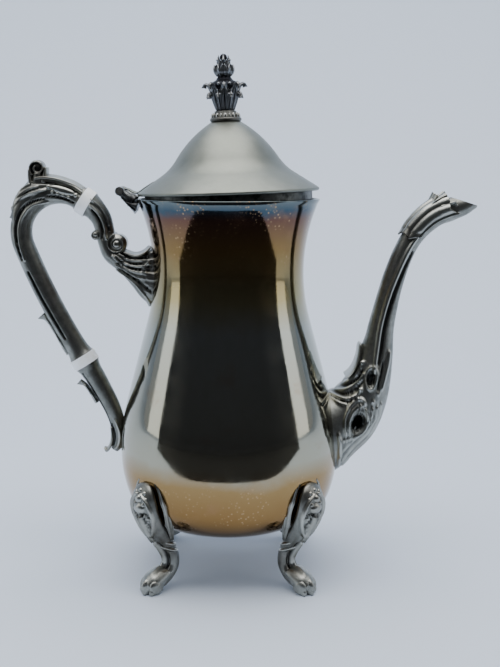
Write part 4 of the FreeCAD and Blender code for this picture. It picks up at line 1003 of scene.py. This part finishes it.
def make_upper_socket():
    """The upper socket: a curved neck, a volute and a fan that is soldered to the vessel."""
    bm = bmesh.new()
    swept(bm, line_sections(UPPER_SOCKET, 18), 88)
    carved(bm, FAN_MARKS, side_plan, sideways)
    fresh(bm, 0.5)
    roll(bm, VOLUTE, 5.3, 1.9, 1.6, 0.9, 5.9, 100)
    stub(bm, *VOLUTE, 4.9, 10.2, 48)
    stub(bm, *SMALL_VOLUTE, 2.3, 8.4, 32)
    for side in (-1, 1):
        bead(bm, (VOLUTE[0], side * 5.0, VOLUTE[1]), 2.1, (1, 0.7, 1))
        bead(bm, (-68.4, side * 4.2, 179.4), 1.4, (1, 0.8, 1))
    roll(bm, SMALL_VOLUTE, 2.6, 1.2, 1.2, 0.7, 4.9, -30)
    leaf(bm, [(-54, 170.6, 4.6), (-48.4, 168.8, 5.4), (-44, 170.0, 5.4), (-40.6, 172.6, 3.4)],
         cup=-1.0, rib=0.4, thick=0.9)
    leaf(bm, [(-67.4, 175.6, 2.4), (-65.2, 171, 4.0), (-59.4, 163.6, 4.6), (-51.6, 156.4, 4.6),
              (-45.6, 148.2, 3.4), (-41.8, 141.4, 1.0)], cup=0.9, rib=0.6, thick=2.2, lobes=3)
    fresh(bm, 0.72)
    seated(bm)
    piece("upper_socket", bm, "pot", "cast_plate", "handle_socket_upper")


LOWER_SOCKET = [
    # x, z, heading, half height and half width
    (-75.0, 110.8, -58.96, 6.9, 6.6), (-74.2, 109.4, -59, 6.2, 6.0), (-72.8, 107, -60, 5.6, 5.4),
    (-68.7, 100, -61, 5.1, 5), (-62.8, 88.1, -65, 4.6, 4.5), (-59.8, 79.1, -76, 4.1, 4),
    (-59.1, 71.5, -92, 3.6, 3.6), (-60.2, 66.4, -104, 3.0, 2.8), (-61.4, 64, -118, 2.0, 1.8),
]


def make_lower_socket():
    """The lower socket: a tapering bar that ends in a small curled leaf."""
    bm = bmesh.new()
    swept(bm, line_sections(LOWER_SOCKET, 16), 64)
    marks = [
        stroke([(-77, 106), (-72, 97), (-66.6, 87), (-63.4, 78), (-62.6, 71)], 0.9, -0.9),
        stroke([(-60.2, 81), (-58.2, 74), (-59, 68), (-61, 65)], 0.8, 0.9),
        stroke([(-62.4, 79), (-61, 73), (-61.8, 67.4)], 0.7, -0.8),
    ]
    carved(bm, marks, side_plan, sideways)
    fresh(bm, 0.5)
    leaf(bm, [(-69.4, 90.4, 1.6), (-72.4, 95.6, 2.6), (-75.4, 100, 2.2), (-78.4, 102.6, 0.6)],
         lobes=3, cup=0.6, rib=0.5, thick=1.0)
    leaf(bm, [(-62.6, 77, 2.6), (-62.4, 71, 3.2), (-63.6, 66.4, 3.0), (-65.6, 63.8, 2.2),
              (-66.6, 64.8, 0.8)], cup=0.7, rib=0.6, thick=1.1)
    fresh(bm, 0.72)
    seated(bm)
    piece("lower_socket", bm, "pot", "cast_plate", "handle_socket_lower")


# ---------------------------------------------------------------- the feet
FOOT = [
    # x, z, heading, half height and half width
    (57.4, 58.6, -84, 1.0, 2.0), (58.0, 57.4, -82, 2.0, 4.4), (58.6, 54.4, -84, 3.2, 6.6),
    (58.6, 50, -88, 3.9, 8.0), (57.2, 43, -104, 4.3, 8.4), (52.4, 33.4, -120, 4.3, 7.6),
    (47.2, 26.4, -120, 4.2, 6.2), (44.6, 22, -110, 4.1, 5.6), (42.6, 17.4, -96, 4.1, 5.2),
    (42.4, 12.6, -76, 4.2, 5.0), (44.8, 8.8, -46, 4.2, 5.0), (49, 6.2, -24, 4.2, 5.2),
    (52.6, 5.2, -8, 4.0, 5.0),
]

FOOT_MARKS = [
    # the medallion's rim, its cushion, its hollows and its stem
    stroke([(-1.6, 54), (-5.2, 50), (-6.8, 45), (-6.6, 39.6), (-4.6, 34.4), (-1.6, 30.6)],
           1.1, 1.2),
    stroke([(1.6, 54), (5.2, 50), (6.8, 45), (6.6, 39.6), (4.6, 34.4), (1.6, 30.6)], 1.1, 1.2),
    boss((0, 46.6), (4.0, 2.8), 0, 1.3),
    boss((-2.6, 38.8), (1.5, 4.4), -10, -1.2),
    boss((2.6, 38.8), (1.5, 4.4), 10, -1.2),
    stroke([(0, 43.4), (0, 38), (0, 32), (0, 27.4)], 1.1, 1.5),
    # the shell's rays, and the groove over them
    *[stroke([(side * 1.2, height), (side * 3.2, height + 2.2), (side * 4.8, height + 2.6)],
             0.45, 0.8)
      for side in (-1, 1) for height in (33.6, 35.4, 37.2, 39, 40.8)],
    stroke([(-6.4, 42), (-4.4, 43.6), (0, 43), (4.4, 43.6), (6.4, 42)], 0.8, -1.0),
    # the ridge down the front of the leg, and a flute at each side of it
    stroke([(0, 26), (0, 20), (0, 14), (0, 10)], 1.5, 1.4),
    stroke([(-2.6, 26), (-2.6, 18), (-2.6, 11)], 1.0, -0.9),
    stroke([(2.6, 26), (2.6, 18), (2.6, 11)], 1.0, -0.9),
]


def front_plan(place):
    """The plan of a foot that is drawn from in front of it."""
    return (place.y, place.z)


def frontwards(normal):
    """How far a point of a foot faces away from the vessel."""
    return max(0.0, min(1.0, 0.35 + normal.x * 1.3))


ROSETTE_HEIGHT = 51.6
SOLE = 0.02              # the paws are flattened this far over the floor


def make_foot(name, angle):
    """A cast foot: a shell medallion with a rosette, an anklet, a ridged leg and a paw."""
    bm = bmesh.new()
    swept(bm, line_sections(FOOT, 14), 72)
    carved(bm, FOOT_MARKS, front_plan, frontwards)
    fresh(bm, 0.5)
    for x, height, grow in ((46.4, 25.2, 7.4), (44.9, 21.4, 6.9)):
        bead(bm, (x, 0, height), 1.0, (5.9, grow, 1.8), radians(-24))
    bead(bm, (61.6, 0, ROSETTE_HEIGHT), 2.3)
    for number in range(8):
        turn = 2 * pi * number / 8
        petal = (61.0 - 0.5 * cos(turn), 4.1 * sin(turn), ROSETTE_HEIGHT + 3.9 * cos(turn))
        bead(bm, petal, 1.55, (1, 0.85, 0.85))
    fresh(bm, 0.8)
    for y, x, grow in ((0, 56.6, 1.0), (-3.6, 54.8, 0.92), (3.6, 54.8, 0.92)):
        bead(bm, (x, y, 4.1), 4.2 * grow, (1.15, 0.62, 1.1), 0.25)
        bead(bm, (x + 2.6, y, 1.9), 2.1, (1.0, 0.7, 1.0))
    instep = [(46, 9.5, -40, 4.2, 5.2), (51, 7.0, -18, 5.2, 5.6), (56, 5.2, -8, 4.8, 5.4),
              (59.4, 4.4, 0, 2.4, 3.2)]
    swept(bm, line_sections(instep, 8), 40)
    for side in (-1, 1):
        leaf(bm, [(46.4, 27.4, 0.6), (49.4, 32, 1.8), (54.6, 40, 2.4), (57.6, 47.6, 2.2),
                  (57.6, 54, 1.4), (56.4, 59.6, 0.3)],
             leaning((46.4, 27.4), (56.4, 59.6), side * 7.0, side * 72), lobes=3, cup=0.4, rib=0.5)
    fresh(bm, 0.62)
    for vert in bm.verts:
        vert.co.z = max(vert.co.z, SOLE)
    bmesh.ops.rotate(bm, cent=(0, 0, 0), matrix=Matrix.Rotation(angle, 3, "Z"), verts=bm.verts)
    seated(bm)
    piece(name + "_casting", bm, "pot", "cast_plate", name)


# ---------------------------------------------------------------- the hinge
KNUCKLE_RADIUS = 2.3


def knuckle(bm, low, high):
    """One knuckle of the hinge, from one y to another."""
    centre = Matrix.Translation((HINGE.x, (low + high) / 2, HINGE.z))
    made = bmesh.ops.create_cone(bm, cap_ends=True, segments=40, radius1=KNUCKLE_RADIUS,
                                 radius2=KNUCKLE_RADIUS, depth=high - low,
                                 matrix=centre @ Matrix.Rotation(pi / 2, 4, "X"))["verts"]
    rims = [edge for edge in {edge for vert in made for edge in vert.link_edges}
            if abs(edge.verts[0].co.y - edge.verts[1].co.y) < 0.001]
    bmesh.ops.bevel(bm, geom=rims, offset=0.3, segments=3, profile=0.5, affect="EDGES", material=-1)


def make_hinge():
    """The bracket, a wedge on the neck with two knuckles, and the leaf that laps on the lid."""
    x, z = HINGE.x, HINGE.z
    bm = bmesh.new()
    for low in (-8.3, 3.8):
        knuckle(bm, low, low + 4.5)
        cheek = [(x, z, 2.2, 2.2), (x + 3.4, z - 2.6, 2.3, 2.2), (x + 6.4, z - 5.4, 3.4, 2.2)]
        swept(bm, path_sections(cheek, 8, low + 2.25), 32)
    wedge = [(x + 3.0, z - 5.4, 0.8, 8.0), (x + 5.6, z - 6.6, 2.4, 8.3),
             (x + 8.6, z - 8.0, 4.2, 8.4)]
    swept(bm, path_sections(wedge, 8), 48)
    ridge = [(x + 0.6, z - 3.2, 0.5, 8.5), (x + 4.2, z - 6.8, 0.7, 8.8),
             (x + 7.8, z - 10.2, 0.6, 8.5)]
    swept(bm, path_sections(ridge, 8), 32)
    seated(bm)
    piece("hinge_seat", bm, "pot", "dark_casting", "hinge_bracket", material=MATERIALS["hinge"])
    bm = bmesh.new()
    knuckle(bm, -3.5, 3.5)
    strap = [(x + 0.4, z + 1.6, 0.6, 3.4), (x + 3.6, z + 0.9, 0.6, 3.5),
             (x + 6.4, z - 0.5, 0.6, 4.2), (x + 8.8, z - 0.85, 0.6, 5.2),
             (x + 12.6, z + 1.7, 0.55, 5.4), (x + 16.6, z + 4.5, 0.3, 4.6)]
    swept(bm, path_sections(strap, 10), 40)
    piece("hinge_strap", bm, "lid", "dark_casting", "lid_hinge_leaf",
          material=MATERIALS["lid_satin"])


# ---------------------------------------------------------------- the plain pieces
def dress(names, material):
    """Give plain nodes of the frame their material."""
    for name in names:
        slots = frame["nodes"][name].data.materials
        slots.clear()
        slots.append(material)


def dress_nodes():
    """The pieces that are seen as they were designed."""
    dress(["base_plate"], MATERIALS["vessel_plate"])
    # The bezel's near-black colour is painted shade for the gap under the lid.
    dress(["lid_bezel"], MATERIALS["bezel"])
    dress(["insulator_upper", "insulator_lower"], MATERIALS["white_insulator"])
    dress(["handle_pins", "hinge_pin", "finial_washer", "finial_nut"], MATERIALS["plain_metal"])


# ---------------------------------------------------------------- the studio
def stage_piece(name, bm, colour, rough):
    """A dull piece of the studio."""
    made = linked(name, bm)
    material = bpy.data.materials.new(name)
    material.use_nodes = True
    shader = material.node_tree.nodes["Principled BSDF"]
    shader.inputs["Base Color"].default_value = colour
    shader.inputs["Roughness"].default_value = rough
    shader.inputs["Specular IOR Level"].default_value = 0.1
    made.data.materials.append(material)
    return made


def swept_sheet(outline, half_width):
    """A sheet along X from an outline of distance and height."""
    bm = bmesh.new()
    verts = [bm.verts.new((-half_width, y, z)) for y, z in outline]
    edges = [bm.edges.new(pair) for pair in zip(verts, verts[1:])]
    grown = bmesh.ops.extrude_edge_only(bm, edges=edges)["geom"]
    bmesh.ops.translate(bm, vec=(2 * half_width, 0, 0),
                        verts=[part for part in grown if isinstance(part, bmesh.types.BMVert)])
    return bm


def soft_light(name, place, target, size, power, colour):
    """A broad light that looks from one place to another."""
    data = bpy.data.lights.new(name, "AREA")
    data.shape = "RECTANGLE"
    data.size, data.size_y = size
    data.energy = power
    data.color = colour
    light = bpy.data.objects.new(name, data)
    light.location = place
    light.rotation_euler = (Vector(target) - Vector(place)).to_track_quat("-Z", "Y").to_euler()
    bpy.context.scene.collection.objects.link(light)


ROOM_SPREAD = radians(76)
ROOM_NEAR = 0.235        # metres from the pot to the room's floor edge
ROOM_FAR = 1.3
ROOM_HEIGHT = 1.2
AIR_STRENGTH = 0.55


def make_studio():
    """A pale sheet that rises behind the pot, a near-black sheet in front of it that stands in for
    the unlit room as painted shade in the reflections, and soft lights.
    """
    sheet = [(-3.0, 0.0), (0.30, 0.0)] + arc((0.30, 0.5), 0.5, -90, 0, 16)[1:] + [(0.80, 3.0)]
    stage_piece("pale_sheet", swept_sheet(sheet, 3.0), (0.66, 0.73, 0.84, 1), 0.8)
    dark = bmesh.new()
    bmesh.ops.create_grid(dark, x_segments=64, y_segments=24, size=1.0)
    for vert in dark.verts:
        turn = vert.co.x * ROOM_SPREAD - pi / 2
        part = (vert.co.y + 1) / 2
        near = ROOM_NEAR + 0.5 * abs(vert.co.x) ** 5
        reach = near + (ROOM_FAR - near) * min(1.0, part * 2)
        height = 0.0006 + ROOM_HEIGHT * max(0.0, part * 2 - 1)
        vert.co = (reach * cos(turn), reach * sin(turn), height)
    # A near-black sheet for the unlit room in front: hidden from the camera, diffuse rays and
    # shadows, it only darkens the metal's reflections, as painted shade.
    room = stage_piece("painted_shade_room", dark, (0.030, 0.030, 0.032, 1), 0.9)
    room.visible_camera = False
    room.visible_diffuse = False
    room.visible_shadow = False
    soft_light("overhead", (0.0, -0.1, 1.5), (0, 0, 0.1), (1.6, 1.4), 27, (1.0, 0.99, 0.97))
    soft_light("left_wall", (-1.3, -0.35, 0.6), (0, 0, 0.12), (1.0, 1.2), 5, (0.97, 1.0, 1.0))
    soft_light("right_wall", (1.3, -0.35, 0.6), (0, 0, 0.12), (1.0, 1.2), 5, (0.97, 0.99, 1.0))
    world = bpy.data.worlds.new("soft_air")
    bpy.context.scene.world = world
    world.use_nodes = True
    air = world.node_tree.nodes["Background"]
    air.inputs["Color"].default_value = (0.74, 0.80, 0.88, 1)
    air.inputs["Strength"].default_value = AIR_STRENGTH


def make_camera():
    """The camera stands in front of the pot's right side and looks a little down."""
    data = bpy.data.cameras.new("camera")
    data.lens = 53.0
    data.sensor_width = 36.0
    data.clip_start, data.clip_end = 0.01, 20
    camera = bpy.data.objects.new("camera", data)
    camera.location = (0.0111, -0.510, 0.2125)
    camera.rotation_euler = (radians(90 - 9.51), 0, 0)
    bpy.context.scene.collection.objects.link(camera)
    bpy.context.scene.camera = camera


# ---------------------------------------------------------------- the whole pot
make_vessel()
make_lid()
make_collar()
make_knob()
make_spout()
make_grip()
make_upper_socket()
make_lower_socket()
for foot_name, foot_angle in (("foot_front_left", 45), ("foot_front_right", -45),
                              ("foot_back_right", -135), ("foot_back_left", 135)):
    make_foot(foot_name, radians(foot_angle))
make_hinge()
dress_nodes()
make_studio()
make_camera()
